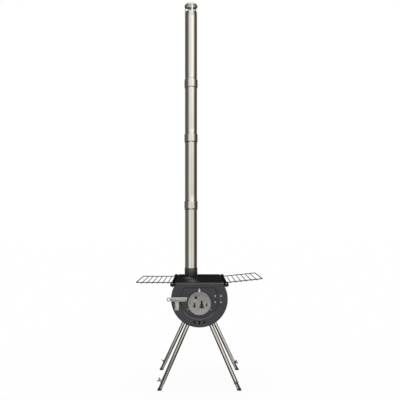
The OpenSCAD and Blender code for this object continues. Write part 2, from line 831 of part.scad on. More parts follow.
module latch_bar() {
    half = latch_w / 2;
    color(steel) translate([0, 0, latch_z - axis_z]) slab(latch_front_y, latch_back_y) difference() {
        union() {
            polygon([[-latch_pivot_x - latch_reach + eye_r, -half],
                     [-latch_pivot_x + latch_end - latch_slant, -half],
                     [-latch_pivot_x + latch_end, half],
                     [-latch_pivot_x - latch_reach + eye_r, half]]);
            translate([-latch_pivot_x - latch_reach, 0]) circle(r = eye_r);
            translate([-latch_pivot_x - latch_reach, -eye_r / 2]) square([eye_r + over, eye_r]);
        }
        translate([-latch_pivot_x, 0]) circle(r = pivot_r + run_gap);
        translate([-latch_pivot_x - latch_reach, 0]) circle(r = eye_hole_r);
    }
}

// The latch turns on a shouldered rivet that holds it clear of the window cover
module latch_pivot() {
    color(steel) {
        bar_y(-latch_pivot_x, latch_z, pivot_boss_r, latch_back_y + seat_gap, door_y);
        domed_pin(-latch_pivot_x, latch_front_y - seat_gap, latch_z, pivot_head_r, pivot_head_h,
                  pivot_r, door_y + door_t + rivet_tail_h - latch_front_y);
        bar_y(-latch_pivot_x, latch_z, pivot_r + rivet_tail_h,
              door_y + door_t, door_y + door_t + rivet_tail_h);
    }
}

// The bar rests on the bent top of the catch
module latch_catch() {
    color(steel) difference() {
        union() {
            block([-catch_x - catch_w / 2, front_y - catch_t, catch_top_z - catch_l],
                  [-catch_x + catch_w / 2, front_y, catch_top_z]);
            block([-catch_x - catch_w / 2, catch_shelf_y, catch_top_z - catch_t],
                  [-catch_x + catch_w / 2, front_y, catch_top_z]);
        }
        catch_rivet_hole();
    }
}

module catch_rivet_hole() {
    bar_y(-catch_x, catch_top_z - catch_rivet_drop, catch_rivet_r + run_gap,
          front_y - catch_t - over, front_y + panel_t + over);
}

module catch_rivet() {
    color(steel) {
        domed_pin(-catch_x, front_y - catch_t, catch_top_z - catch_rivet_drop, catch_head_r, catch_head_h,
                  catch_rivet_r, catch_t + panel_t + rivet_tail_h / 2);
        bar_y(-catch_x, catch_top_z - catch_rivet_drop, catch_head_r,
              front_y + panel_t, front_y + panel_t + rivet_tail_h);
    }
}

// Places what is drawn down along -Z from the drum's axis on a leg
module leg_frame(side, end) {
    translate([0, end * leg_y, axis_z]) rotate([0, -side * leg_angle(end), 0]) children();
}

// A round bar along the leg, between two distances from the drum's axis
module leg_bar(r, near, far) {
    translate([0, 0, -far]) cylinder(r = r, h = far - near);
}

// Places what is drawn along +X from the leg's middle on a wing screw
module wing_frame(side, end) {
    leg_frame(side, end) translate([0, 0, wing_up - tube_end(end)]) rotate([0, 0, wing_turn(side, end)])
        children();
}

// A stud welded to the drum, which a leg is pushed onto
module leg_stud(side, end) {
    color(black) difference() {
        leg_frame(side, end) leg_bar(stud_r, shell_in_r, body_r + stud_l);
        bar_y(0, axis_z, shell_r + run_gap, -body_l, body_l);
        button_frame(side, end) translate([ext_r - button_sink, 0, 0]) rotate([0, 90, 0])
            cylinder(r = button_r + run_gap, h = leg_r);
    }
}

// Places what is drawn along +X from the leg's middle on the button near the leg's upper end
module button_frame(side, end) {
    leg_frame(side, end) translate([0, 0, -button_at]) rotate([0, 0, button_turn(side, end)]) children();
}

// The buttons that come through the upper leg tubes and hold them on their studs
module leg_buttons() {
    color(black) for (side = [left, right], end = [front, rear]) button_frame(side, end)
        translate([ext_r - button_sink + seat_gap, 0, 0]) rotate([0, 90, 0])
            cylinder(r = button_r, h = leg_r - ext_r + button_sink + button_h);
}

module leg_tube(side, end) {
    color(steel) difference() {
        union() {
            leg_frame(side, end) leg_bar(leg_r, leg_top, tube_end(end));
            wing_frame(side, end) rotate([0, 90, 0]) cylinder(r = wing_boss_r, h = leg_r + wing_boss_h);
        }
        leg_frame(side, end) leg_bar(leg_r - leg_t, leg_top - over, tube_end(end) + over);
        wing_frame(side, end) rotate([0, 90, 0])
            cylinder(r = wing_screw_r + run_gap, h = leg_r + wing_boss_h + over);
        button_frame(side, end) rotate([0, 90, 0]) cylinder(r = button_r + run_gap, h = leg_r + over);
    }
}

module leg_extension(side, end) {
    low = leg_foot(end) - foot_sole;
    color(steel) leg_frame(side, end) difference() {
        leg_bar(ext_r, low - extension_l, low);
        leg_bar(ext_r - leg_t, low - extension_l - over, low + over);
    }
}

// A rubber cap over the end of the leg, cut level with the ground
module foot(side, end) {
    low = leg_foot(end) - foot_sole;
    color(rubber) difference() {
        leg_frame(side, end) difference() {
            leg_bar(foot_r, leg_foot(end) - foot_h, leg_foot(end) + foot_h);
            leg_bar(ext_r + run_gap, leg_foot(end) - foot_h - over, low + seat_gap);
        }
        block([-body_l * 2, -body_l * 2, -body_l], [body_l * 2, body_l * 2, 0]);
    }
}

module wing_screw(side, end) {
    hub = leg_r + wing_boss_h + rest_gap;
    color(steel) wing_frame(side, end) rotate([wing_twist(side, end), 0, 0]) {
        translate([ext_r + seat_gap, 0, 0]) rotate([0, 90, 0])
            cylinder(r = wing_screw_r, h = hub + wing_hub_h - ext_r - seat_gap);
        translate([hub, 0, 0]) rotate([0, 90, 0]) cylinder(r = wing_hub_r, h = wing_hub_h);
        translate([0, wing_t / 2, 0]) rotate([90, 0, 0]) linear_extrude(height = wing_t)
            for (wing = [-1, 1])
                stroke([hub + wing_hub_h / 2, wing * wing_root_r / 2],
                       [hub + wing_hub_h / 2 + wing_rise, wing * wing_spread], wing_root_r, wing_tip_r);
    }
}

// Half section of a pipe section between two heights, with a beaded socket at its foot
module upper_pipe_section(top) {
    translate([pipe_in_r, bell_shoulder]) square([pipe_t, top - bell_shoulder]);
    translate([bell_in_r, 0]) square([bell_t, bell_l]);
    translate([pipe_in_r, bell_shoulder]) square([bell_r - pipe_in_r, bell_l - bell_shoulder]);
    for (z = [bead_low, bead_high]) intersection() {
        translate([bead_at_r, z]) circle(r = bead_r);
        translate([bell_in_r + bell_t / 2, z - bead_r]) square(2 * bead_r);
    }
}

module pipe_section_1() {
    color(steel) translate([flue_x, flue_y, plate_top_z + seat_gap]) difference() {
        cylinder(r = pipe_r, h = lip_2_z + bell_shoulder - plate_top_z - 2 * seat_gap);
        translate([0, 0, -over]) cylinder(r = pipe_in_r, h = lip_3_z - plate_top_z);
    }
}

module upper_section(lip_z, next_lip_z) {
    color(steel) translate([flue_x, flue_y, lip_z]) rotate_extrude()
        upper_pipe_section(next_lip_z + bell_shoulder - lip_z - seat_gap);
}

module pipe_section_4() {
    color(steel) difference() {
        translate([flue_x, flue_y, lip_4_z]) rotate_extrude() upper_pipe_section(section_4_show);
        strap_places() rotate([90, 0, 0]) translate([0, 0, pipe_in_r - over])
            cylinder(r = strap_rivet_r + run_gap, h = pipe_t + 2 * over);
    }
}

// Turns what is drawn towards -Y from the pipe's axis, at the rivets' height, to each strap
module strap_places() {
    for (turn = strap_turns) translate([flue_x, flue_y, strap_rivet_z]) rotate([0, 0, turn]) children();
}

// Section of the dome: a crown and a rounded shoulder that meet smoothly, shrunk by the given amount
module cap_section(shrink) {
    shoulder_x = cap_r - cap_shoulder_r;
    crown_z = cap_h - cap_crown_r;
    lean = atan2(shoulder_x, -crown_z);
    reach = cap_crown_r - shrink;
    intersection() {
        union() {
            translate([shoulder_x, 0]) circle(r = cap_shoulder_r - shrink);
            intersection() {
                translate([0, crown_z]) circle(r = reach);
                polygon([[0, crown_z], [2 * reach * sin(lean), crown_z + 2 * reach * cos(lean)],
                         [0, crown_z + 2 * reach]]);
            }
            square([shoulder_x, cap_shoulder_r / 2]);
        }
        square([cap_r, cap_h]);
    }
}

module rain_cap() {
    color(steel) translate([flue_x, flue_y, cap_z]) rotate_extrude() difference() {
        cap_section(0);
        translate([0, -over]) square([cap_r - cap_t, over]);
        cap_section(cap_t);
    }
}

module cap_straps() {
    color(steel) strap_places() difference() {
        block([-strap_w / 2, -strap_out_r, pipe_top_z - strap_grip - strap_rivet_z],
              [strap_w / 2, -strap_in_r, strap_top_z - strap_rivet_z]);
        rotate([90, 0, 0]) cylinder(r = strap_rivet_r + run_gap, h = strap_out_r + over);
    }
}

module cap_rivets() {
    color(steel) strap_places()
        domed_pin(0, -strap_out_r, 0, strap_head_r, strap_head_h, strap_rivet_r,
                  strap_out_r - pipe_in_r + strap_head_h / 2);
}

barrel_shell();
front_panel();
rear_panel();
top_plate();
flue_collar();
fire_grate();
rack_bracket(left);  // rack_bracket_left
rack_bracket(right);  // rack_bracket_right
rack_rod(left);  // rack_rod_left
rack_rod(right);  // rack_rod_right
rack(left, left_tilt_angle);  // rack_left
rack(right, right_tilt_angle);  // rack_right
door_panel();
hinge_leaf_body();
hinge_leaf_door();
hinge_pin();
body_hinge_rivets();
door_hinge_rivets();
window_gasket();
window_glass();
window_cover();
window_clips();
clip_screws();
latch_bar();
latch_pivot();
latch_catch();
catch_rivet();
leg_stud(left, front);  // leg_stud_front_left
leg_stud(right, front);  // leg_stud_front_right
leg_stud(left, rear);  // leg_stud_rear_left
leg_stud(right, rear);  // leg_stud_rear_right
leg_buttons();
leg_tube(left, front);  // leg_tube_front_left
leg_tube(right, front);  // leg_tube_front_right
leg_tube(left, rear);  // leg_tube_rear_left
leg_tube(right, rear);  // leg_tube_rear_right
leg_extension(left, front);  // leg_extension_front_left
leg_extension(right, front);  // leg_extension_front_right
leg_extension(left, rear);  // leg_extension_rear_left
leg_extension(right, rear);  // leg_extension_rear_right
foot(left, front);  // foot_front_left
foot(right, front);  // foot_front_right
foot(left, rear);  // foot_rear_left
foot(right, rear);  // foot_rear_right
wing_screw(left, front);  // wing_screw_front_left
wing_screw(right, front);  // wing_screw_front_right
wing_screw(left, rear);  // wing_screw_rear_left
wing_screw(right, rear);  // wing_screw_rear_right
pipe_section_1();
upper_section(lip_2_z, lip_3_z);  // pipe_section_2
upper_section(lip_3_z, lip_4_z);  // pipe_section_3
pipe_section_4();
rain_cap();
cap_straps();
cap_rivets();
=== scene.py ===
import json
from math import atan2, cos, hypot, pi, radians, sin, sqrt

import bmesh
import bpy
from mathutils import Matrix, Vector


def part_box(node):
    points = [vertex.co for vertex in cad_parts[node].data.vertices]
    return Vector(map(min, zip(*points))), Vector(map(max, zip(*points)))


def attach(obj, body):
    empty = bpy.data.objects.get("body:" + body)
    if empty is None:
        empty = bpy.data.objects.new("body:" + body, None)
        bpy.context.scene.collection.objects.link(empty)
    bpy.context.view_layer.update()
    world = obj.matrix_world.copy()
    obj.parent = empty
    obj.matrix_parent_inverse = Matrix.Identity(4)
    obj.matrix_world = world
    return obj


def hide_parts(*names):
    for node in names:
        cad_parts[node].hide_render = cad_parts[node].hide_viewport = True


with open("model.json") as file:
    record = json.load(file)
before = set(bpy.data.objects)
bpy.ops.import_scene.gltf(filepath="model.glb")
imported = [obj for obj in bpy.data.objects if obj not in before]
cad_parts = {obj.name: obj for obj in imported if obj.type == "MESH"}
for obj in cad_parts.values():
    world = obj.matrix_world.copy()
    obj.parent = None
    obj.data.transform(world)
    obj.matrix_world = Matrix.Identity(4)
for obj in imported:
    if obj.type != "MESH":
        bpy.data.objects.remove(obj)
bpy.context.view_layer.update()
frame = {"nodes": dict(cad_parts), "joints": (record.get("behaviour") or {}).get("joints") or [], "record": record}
nodes = frame["nodes"]
record = frame["record"]
joints = {j["name"]: j for j in frame["joints"]}
bodyOf = {n: b for b, members in record["behaviour"]["bodies"].items() for n in members}
slotOf = {s["node"]: s["material_slot"] for s in record["subparts"]}
mm = 0.001
corners = ["front_left", "front_right", "rear_left", "rear_right"]


# Shader tools

def addNode(tree, kind, sockets=None, **settings):
    node = tree.nodes.new(kind)
    for key, value in settings.items():
        setattr(node, key, value)
    for key, value in (sockets or {}).items():
        node.inputs[key].default_value = value
    return node


def newGroup(name, inputs, outputs):
    tree = bpy.data.node_groups.new(name, "ShaderNodeTree")
    for label, kind, default in inputs:
        socket = tree.interface.new_socket(label, in_out="INPUT", socket_type="NodeSocket" + kind)
        socket.default_value = default
    for label, kind in outputs:
        tree.interface.new_socket(label, in_out="OUTPUT", socket_type="NodeSocket" + kind)
    return tree, tree.nodes.new("NodeGroupInput"), tree.nodes.new("NodeGroupOutput")


def mixColor(tree, share, first, second, blend="MIX"):
    node = tree.nodes.new("ShaderNodeMix")
    node.data_type = "RGBA"
    node.blend_type = blend
    for socket, value in ((node.inputs[0], share), (node.inputs[6], first), (node.inputs[7], second)):
        if isinstance(value, bpy.types.NodeSocket):
            tree.links.new(value, socket)
        else:
            socket.default_value = value
    return node.outputs[2]


def mathNode(tree, operation, first, second, clamp=False):
    node = addNode(tree, "ShaderNodeMath", operation=operation, use_clamp=clamp)
    for socket, value in ((node.inputs[0], first), (node.inputs[1], second)):
        if isinstance(value, bpy.types.NodeSocket):
            tree.links.new(value, socket)
        else:
            socket.default_value = value
    return node.outputs[0]


def remap(tree, value, low, high, toLow, toHigh):
    node = addNode(tree, "ShaderNodeMapRange", {1: low, 2: high, 3: toLow, 4: toHigh}, clamp=True)
    tree.links.new(value, node.inputs[0])
    return node.outputs[0]


# How finely each shared group is broken up, and the pointiness at which an edge starts and is fully rubbed
groupLook = {"mottleDetail": 5.0, "mottleRough": 0.6, "streakDetail": 3.0, "streakRough": 0.65,
             "edgeStart": 0.52, "edgeFull": 0.6, "edgeDetail": 4.0, "edgeBreak": (0.35, 0.6),
             "edgeLeast": 0.2, "pitDetail": 2.0, "pitRough": 0.5, "pitCells": (0.0, 0.5), "pitLeast": 0.6}


# Cloudy change of tone over a surface
def makeMottle():
    tree, start, end = newGroup("mottle", [("Scale", "Float", 20.0), ("Contrast", "Float", 1.0)],
                                [("Mask", "Float")])
    place = addNode(tree, "ShaderNodeTexCoord")
    noise = addNode(tree, "ShaderNodeTexNoise",
                    {"Detail": groupLook["mottleDetail"], "Roughness": groupLook["mottleRough"]})
    tree.links.new(place.outputs["Object"], noise.inputs["Vector"])
    tree.links.new(start.outputs["Scale"], noise.inputs["Scale"])
    centred = mathNode(tree, "SUBTRACT", noise.outputs[0], 0.5)
    scaled = mathNode(tree, "MULTIPLY", centred, start.outputs["Contrast"])
    tree.links.new(mathNode(tree, "ADD", scaled, 0.5, clamp=True), end.inputs["Mask"])
    return tree


# Fine streaks along one direction, as brushing or drawing leaves them
def makeStreaks():
    tree, start, end = newGroup("streaks",
                                [("Stretch", "Vector", (1.0, 1.0, 1.0)), ("Scale", "Float", 100.0)],
                                [("Mask", "Float")])
    place = addNode(tree, "ShaderNodeTexCoord")
    stretch = addNode(tree, "ShaderNodeVectorMath", operation="MULTIPLY")
    noise = addNode(tree, "ShaderNodeTexNoise",
                    {"Detail": groupLook["streakDetail"], "Roughness": groupLook["streakRough"]})
    tree.links.new(place.outputs["Object"], stretch.inputs[0])
    tree.links.new(start.outputs["Stretch"], stretch.inputs[1])
    tree.links.new(stretch.outputs[0], noise.inputs["Vector"])
    tree.links.new(start.outputs["Scale"], noise.inputs["Scale"])
    tree.links.new(noise.outputs[0], end.inputs["Mask"])
    return tree


# Corners and rims that hands and tools have rubbed
def makeRubbedEdges():
    tree, start, end = newGroup("rubbedEdges", [("Amount", "Float", 1.0), ("Breakup", "Float", 200.0)],
                                [("Mask", "Float")])
    shape = addNode(tree, "ShaderNodeNewGeometry")
    place = addNode(tree, "ShaderNodeTexCoord")
    noise = addNode(tree, "ShaderNodeTexNoise", {"Detail": groupLook["edgeDetail"]})
    tree.links.new(place.outputs["Object"], noise.inputs["Vector"])
    tree.links.new(start.outputs["Breakup"], noise.inputs["Scale"])
    edge = remap(tree, shape.outputs["Pointiness"], groupLook["edgeStart"], groupLook["edgeFull"], 0.0, 1.0)
    gaps = remap(tree, noise.outputs[0], *groupLook["edgeBreak"], groupLook["edgeLeast"], 1.0)
    broken = mathNode(tree, "MULTIPLY", edge, gaps)
    mask = mathNode(tree, "MULTIPLY", broken, start.outputs["Amount"], clamp=True)
    tree.links.new(mask, end.inputs["Mask"])
    return tree


# Tiny specks and pits, as sprayed paint, cast iron or rubber have
def makePits():
    tree, start, end = newGroup("pits", [("Scale", "Float", 800.0)], [("Height", "Float")])
    place = addNode(tree, "ShaderNodeTexCoord")
    fine = addNode(tree, "ShaderNodeTexNoise",
                   {"Detail": groupLook["pitDetail"], "Roughness": groupLook["pitRough"]})
    cells = addNode(tree, "ShaderNodeTexVoronoi")
    for texture in (fine, cells):
        tree.links.new(place.outputs["Object"], texture.inputs["Vector"])
        tree.links.new(start.outputs["Scale"], texture.inputs["Scale"])
    shallow = remap(tree, cells.outputs[0], *groupLook["pitCells"], groupLook["pitLeast"], 1.0)
    height = mathNode(tree, "MULTIPLY", fine.outputs[0], shallow)
    tree.links.new(height, end.inputs["Height"])
    return tree


groups = {"mottle": makeMottle(), "streaks": makeStreaks(), "rubbedEdges": makeRubbedEdges(),
          "pits": makePits()}
print("shader groups made")


def useGroup(tree, name, **values):
    node = addNode(tree, "ShaderNodeGroup", node_tree=groups[name])
    for key, value in values.items():
        node.inputs[key].default_value = value
    return node.outputs[0]


def startMaterial(name, roughness, metallic=0.0, **sockets):
    material = bpy.data.materials.new(name)
    material.use_nodes = True
    tree = material.node_tree
    shader = tree.nodes["Principled BSDF"]
    shader.inputs["Roughness"].default_value = roughness
    shader.inputs["Metallic"].default_value = metallic
    for key, value in sockets.items():
        shader.inputs[key.replace("_", " ")].default_value = value
    return material, tree, shader


def addBump(tree, shader, height, strength, distance):
    bump = addNode(tree, "ShaderNodeBump", {"Strength": strength, "Distance": distance})
    tree.links.new(height, bump.inputs["Height"])
    tree.links.new(bump.outputs[0], shader.inputs["Normal"])


def tone(color, factor):
    return (color[0] * factor, color[1] * factor, color[2] * factor, 1.0)


# Each paint's tone and how far it varies, its gloss, its pits and the tone of its rubbed edges
paintLooks = {
    "charcoal_sheet": {"color": (0.0345, 0.0335, 0.0395), "roughness": 0.5, "shine": 0.3,
                       "vary": 0.2, "cloud": 150.0, "pitScale": 1500.0, "pitStrength": 0.12,
                       "edge": 0.3, "edgeColor": (0.10, 0.10, 0.105)},
    "black_sheet": {"color": (0.005, 0.005, 0.0054), "roughness": 0.44, "shine": 0.12,
                    "vary": 0.2, "cloud": 18.0, "pitScale": 1300.0, "pitStrength": 0.12,
                    "edge": 0.35, "edgeColor": (0.04, 0.04, 0.04)},
    "black_plate": {"color": (0.007, 0.007, 0.0075), "roughness": 0.36, "shine": 0.3,
                    "vary": 0.2, "cloud": 12.0, "pitScale": 1000.0, "pitStrength": 0.06,
                    "edge": 0.4, "edgeColor": (0.04, 0.04, 0.04)},
    "cast_black": {"color": (0.018, 0.017, 0.016), "roughness": 0.8, "shine": 0.4,
                   "vary": 0.4, "cloud": 30.0, "pitScale": 500.0, "pitStrength": 0.5,
                   "edge": 0.5, "edgeColor": (0.07, 0.05, 0.04)},
    "collar_paint": {"color": (0.018, 0.018, 0.02), "roughness": 0.36, "shine": 0.9,
                     "vary": 0.15, "cloud": 22.0, "pitScale": 1300.0, "pitStrength": 0.12,
                     "edge": 0.3, "edgeColor": (0.05, 0.05, 0.05)},
    # The rim's paint is the charcoal panel paint made lighter, a painted highlight for the rim under the door
    "rim_highlight_paint": {"color": (0.062, 0.061, 0.068), "roughness": 0.45, "shine": 0.4,
                  "vary": 0.25, "cloud": 90.0, "pitScale": 1500.0, "pitStrength": 0.12,
                  "edge": 0.4, "edgeColor": (0.13, 0.13, 0.135)},
    "rubber": {"color": (0.012, 0.012, 0.012), "roughness": 0.72, "shine": 0.3,
               "vary": 0.25, "cloud": 60.0, "pitScale": 900.0, "pitStrength": 0.2,
               "edge": 0.3, "edgeColor": (0.03, 0.03, 0.03)},
}
paintFinish = {"contrast": 1.6, "breakup": 220.0, "roughSpan": (0.2, 0.8), "roughSpread": 0.06,
               "pitDepth": 0.0004}


def paintMaterial(name, look):
    material, tree, shader = startMaterial(name, look["roughness"], Specular_IOR_Level=look["shine"])
    cloud = useGroup(tree, "mottle", Scale=look["cloud"], Contrast=paintFinish["contrast"])
    base = mixColor(tree, cloud, tone(look["color"], 1 - look["vary"]), tone(look["color"], 1 + look["vary"]))
    edge = useGroup(tree, "rubbedEdges", Amount=look["edge"], Breakup=paintFinish["breakup"])
    tree.links.new(mixColor(tree, edge, base, tone(look["edgeColor"], 1)), shader.inputs["Base Color"])
    smoothest = look["roughness"] - paintFinish["roughSpread"]
    roughest = look["roughness"] + paintFinish["roughSpread"]
    rough = remap(tree, cloud, *paintFinish["roughSpan"], smoothest, roughest)
    tree.links.new(rough, shader.inputs["Roughness"])
    pits = useGroup(tree, "pits", Scale=look["pitScale"])
    addBump(tree, shader, pits, look["pitStrength"], paintFinish["pitDepth"])
    return material


# Lays a colour over what a finish has, as far as a mask says
def layColor(tree, shader, mask, color):
    before = shader.inputs["Base Color"].links[0].from_socket
    tree.links.new(mixColor(tree, mask, before, tone(color, 1)), shader.inputs["Base Color"])


# A painted reflection of the stovepipe: the paint of the cooking plate is made pale in a patch in front of the
# collar, where the pipe's reflection falls. It is palest out to the share full of the patch's size, and as it was
# from the share gone.
plateReflectionLook = {"color": (0.105, 0.107, 0.088), "ahead": 52.0, "aside": -12.0, "width": 27.0, "length": 78.0,
              "cloud": 60.0, "ragged": 0.7, "full": 0.15, "gone": 1.05}


def paintPlateReflection(material):
    look = plateReflectionLook
    tree = material.node_tree
    shader = tree.nodes["Principled BSDF"]
    low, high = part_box("flue_collar")
    middle = ((low.x + high.x) / 2 + look["aside"] * mm, low.y - look["ahead"] * mm, 0)
    place = addNode(tree, "ShaderNodeTexCoord")
    shift = addNode(tree, "ShaderNodeVectorMath", {1: middle}, operation="SUBTRACT")
    squeezed = (1 / (look["width"] * mm), 1 / (look["length"] * mm), 0)
    squeeze = addNode(tree, "ShaderNodeVectorMath", {1: squeezed}, operation="MULTIPLY")
    size = addNode(tree, "ShaderNodeVectorMath", operation="LENGTH")
    tree.links.new(place.outputs["Object"], shift.inputs[0])
    tree.links.new(shift.outputs[0], squeeze.inputs[0])
    tree.links.new(squeeze.outputs[0], size.inputs[0])
    ragged = useGroup(tree, "mottle", Scale=look["cloud"], Contrast=look["ragged"])
    reach = mathNode(tree, "ADD", size.outputs["Value"], mathNode(tree, "SUBTRACT", ragged, 0.5))
    mask = addNode(tree, "ShaderNodeMapRange", {1: look["full"], 2: look["gone"], 3: 1.0, 4: 0.0},
                   interpolation_type="SMOOTHSTEP")
    tree.links.new(reach, mask.inputs[0])
    layColor(tree, shader, mask.outputs[0], look["color"])


# Lays a colour over a finish between two heights, full at the first and gone at the second
def layBand(material, full, gone, color):
    tree = material.node_tree
    shader = tree.nodes["Principled BSDF"]
    place = addNode(tree, "ShaderNodeTexCoord")
    split = addNode(tree, "ShaderNodeSeparateXYZ")
    tree.links.new(place.outputs["Object"], split.inputs[0])
    first, second = sorted((full, gone))
    mask = remap(tree, split.outputs[2], first, second, float(full < gone), float(full > gone))
    layColor(tree, shader, mask, color)


# A painted highlight makes the bend at the top of the end panels pale, as the light from above falls on it, and
# painted shade darkens the lower clips
bandLook = {"bend": 7.0, "bendEdge": 1.4, "bendHighlightColor": (0.066, 0.066, 0.072),
            "clipFade": 2.0, "clipShadeColor": (0.17, 0.165, 0.155)}


def layPaintedLightBands():
    look = bandLook
    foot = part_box("front_panel")[1].z - look["bend"] * mm
    # painted highlight: a pale band along the bend at the top of the panels
    layBand(materials["charcoal_sheet"], foot + look["bendEdge"] * mm, foot, look["bendHighlightColor"])
    low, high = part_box("window_clips")
    middle = (low.z + high.z) / 2
    # painted shade: the clips below the window cover's middle are darkened, while the top clip stays bright as if
    # lit from above
    layBand(materials["clip_steel"], middle, middle + look["clipFade"] * mm, look["clipShadeColor"])


# Each steel's tone and how far it varies, its gloss, and the direction and depth of its grain
metalLooks = {
    "brushed_steel": {"color": (0.35, 0.347, 0.341), "roughness": 0.4, "spread": 0.1,
                      "stretch": (0.25, 1.0, 1.0), "scale": 420.0, "grain": 0.14,
                      "vary": 0.5, "cloud": 190.0},
    "latch_steel": {"color": (0.44, 0.439, 0.434), "roughness": 0.38, "spread": 0.05,
                    "stretch": (0.1, 1.0, 1.0), "scale": 900.0, "grain": 0.1,
                    "vary": 0.06, "cloud": 16.0},
    "catch_steel": {"color": (0.74, 0.74, 0.735), "roughness": 0.4, "spread": 0.05,
                    "stretch": (1.0, 1.0, 0.2), "scale": 900.0, "grain": 0.1,
                    "vary": 0.08, "cloud": 16.0},
    "plated_steel": {"color": (0.68, 0.68, 0.67), "roughness": 0.3, "spread": 0.08,
                     "stretch": (1.0, 1.0, 1.0), "scale": 900.0, "grain": 0.06,
                     "vary": 0.08, "cloud": 60.0},
    "polished_steel": {"color": (0.66, 0.65, 0.615), "roughness": 0.1, "spread": 0.04,
                       "stretch": (1.0, 1.0, 0.02), "scale": 1400.0, "grain": 0.03,
                       "vary": 0.07, "cloud": 9.0},
    "leg_steel": {"color": (0.56, 0.549, 0.518), "roughness": 0.13, "spread": 0.04,
                  "stretch": (1.0, 1.0, 0.05), "scale": 1400.0, "grain": 0.04,
                  "vary": 0.08, "cloud": 25.0},
    "cap_steel": {"color": (0.74, 0.735, 0.71), "roughness": 0.2, "spread": 0.05,
                  "stretch": (1.0, 1.0, 0.1), "scale": 1400.0, "grain": 0.04,
                  "vary": 0.1, "cloud": 40.0},
    "clip_steel": {"color": (0.7, 0.7, 0.69), "roughness": 0.3, "spread": 0.08,
                   "stretch": (1.0, 1.0, 1.0), "scale": 900.0, "grain": 0.06,
                   "vary": 0.1, "cloud": 60.0},
    "wing_steel": {"color": (0.2, 0.198, 0.19), "roughness": 0.34, "spread": 0.08,
                   "stretch": (1.0, 1.0, 1.0), "scale": 700.0, "grain": 0.12,
                   "vary": 0.25, "cloud": 90.0},
    "rack_wire": {"color": (0.055, 0.054, 0.052), "roughness": 0.45, "spread": 0.1,
                  "stretch": (1.0, 1.0, 1.0), "scale": 1200.0, "grain": 0.1,
                  "vary": 0.25, "cloud": 50.0},
}
metalFinish = {"contrast": 1.5, "lined": 0.25, "roughSpan": (0.3, 0.7), "grainDepth": 0.0003}


def metalMaterial(name, look):
    material, tree, shader = startMaterial(name, look["roughness"], metallic=1.0)
    cloud = useGroup(tree, "mottle", Scale=look["cloud"], Contrast=metalFinish["contrast"])
    streak = useGroup(tree, "streaks", Stretch=look["stretch"], Scale=look["scale"])
    base = mixColor(tree, cloud, tone(look["color"], 1 - look["vary"]), tone(look["color"], 1 + look["vary"]))
    lined = mixColor(tree, metalFinish["lined"], base, streak, blend="SOFT_LIGHT")
    tree.links.new(lined, shader.inputs["Base Color"])
    halfCloud = mathNode(tree, "MULTIPLY", cloud, 0.5)
    halfStreak = mathNode(tree, "MULTIPLY", streak, 0.5)
    mixed = mathNode(tree, "ADD", halfCloud, halfStreak)
    smoothest = look["roughness"] - look["spread"]
    roughest = look["roughness"] + look["spread"]
    rough = remap(tree, mixed, *metalFinish["roughSpan"], smoothest, roughest)
    tree.links.new(rough, shader.inputs["Roughness"])
    addBump(tree, shader, streak, look["grain"], metalFinish["grainDepth"])
    return material


gasketLook = {"hollow": (0.06, 0.06, 0.06), "strand": (0.16, 0.155, 0.15), "roughness": 0.95, "weave": 260.0,
              "distortion": 2.0, "detail": 2.0, "relief": 0.5, "depth": 0.0005}


def gasketMaterial():
    look = gasketLook
    material, tree, shader = startMaterial("wovenGasket", look["roughness"])
    place = addNode(tree, "ShaderNodeTexCoord")
    weave = addNode(tree, "ShaderNodeTexWave",
                    {"Scale": look["weave"], "Distortion": look["distortion"], "Detail": look["detail"]})
    tree.links.new(place.outputs["Object"], weave.inputs["Vector"])
    woven = mixColor(tree, weave.outputs[1], tone(look["hollow"], 1), tone(look["strand"], 1))
    tree.links.new(woven, shader.inputs["Base Color"])
    addBump(tree, shader, weave.outputs[1], look["relief"], look["depth"])
    return material


# Ceramic glass, browned by smoke in clouds
glassLook = {"clean": (0.006, 0.0055, 0.005), "smoked": (0.02, 0.018, 0.016), "roughness": 0.06,
             "roughSpan": (0.2, 0.8), "cleanRough": 0.04, "smokedRough": 0.22, "index": 1.47,
             "clear": 0.6, "shine": 0.12, "cloud": 45.0, "contrast": 2.2}


def glassMaterial():
    look = glassLook
    material, tree, shader = startMaterial("stoveGlass", look["roughness"], IOR=look["index"],
                                           Transmission_Weight=look["clear"],
                                           Specular_IOR_Level=look["shine"])
    smoke = useGroup(tree, "mottle", Scale=look["cloud"], Contrast=look["contrast"])
    browned = mixColor(tree, smoke, tone(look["clean"], 1), tone(look["smoked"], 1))
    tree.links.new(browned, shader.inputs["Base Color"])
    hazy = remap(tree, smoke, *look["roughSpan"], look["cleanRough"], look["smokedRough"])
    tree.links.new(hazy, shader.inputs["Roughness"])
    return material


materials = {name: paintMaterial(name.replace("_", ""), look) for name, look in paintLooks.items()}
materials.update({name: metalMaterial(name.replace("_", ""), look) for name, look in metalLooks.items()})
# The cooking plate gets a painted reflection of the stovepipe, a pale patch in front of the collar
paintPlateReflection(materials["black_plate"])
layPaintedLightBands()
materials["gasket"] = gasketMaterial()
materials["window"] = glassMaterial()
print("materials made:", len(materials))


# Mesh tools

def setMaterial(piece, slot):
    piece.data.materials.clear()
    piece.data.materials.append(materials[slot])


# Shading runs on across edges flatter than angle degrees
def smooth(mesh, angle=35):
    mesh.shade_smooth()
    mesh.set_sharp_from_angle(angle=radians(angle))


def finishPiece(name, bm, slot, body, replaced=(), angle=35, finish=None):
    bmesh.ops.recalc_face_normals(bm, faces=bm.faces)
    mesh = bpy.data.meshes.new(name)
    bm.to_mesh(mesh)
    bm.free()
    piece = bpy.data.objects.new(name, mesh)
    bpy.context.scene.collection.objects.link(piece)
    setMaterial(piece, finish or slot)
    smooth(mesh, angle)
    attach(piece, body)
    if replaced:
        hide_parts(*replaced)
    return piece


def applyModifiers(piece):
    bpy.context.view_layer.update()
    graph = bpy.context.evaluated_depsgraph_get()
    made = bpy.data.meshes.new_from_object(piece.evaluated_get(graph))
    piece.modifiers.clear()
    piece.data = made


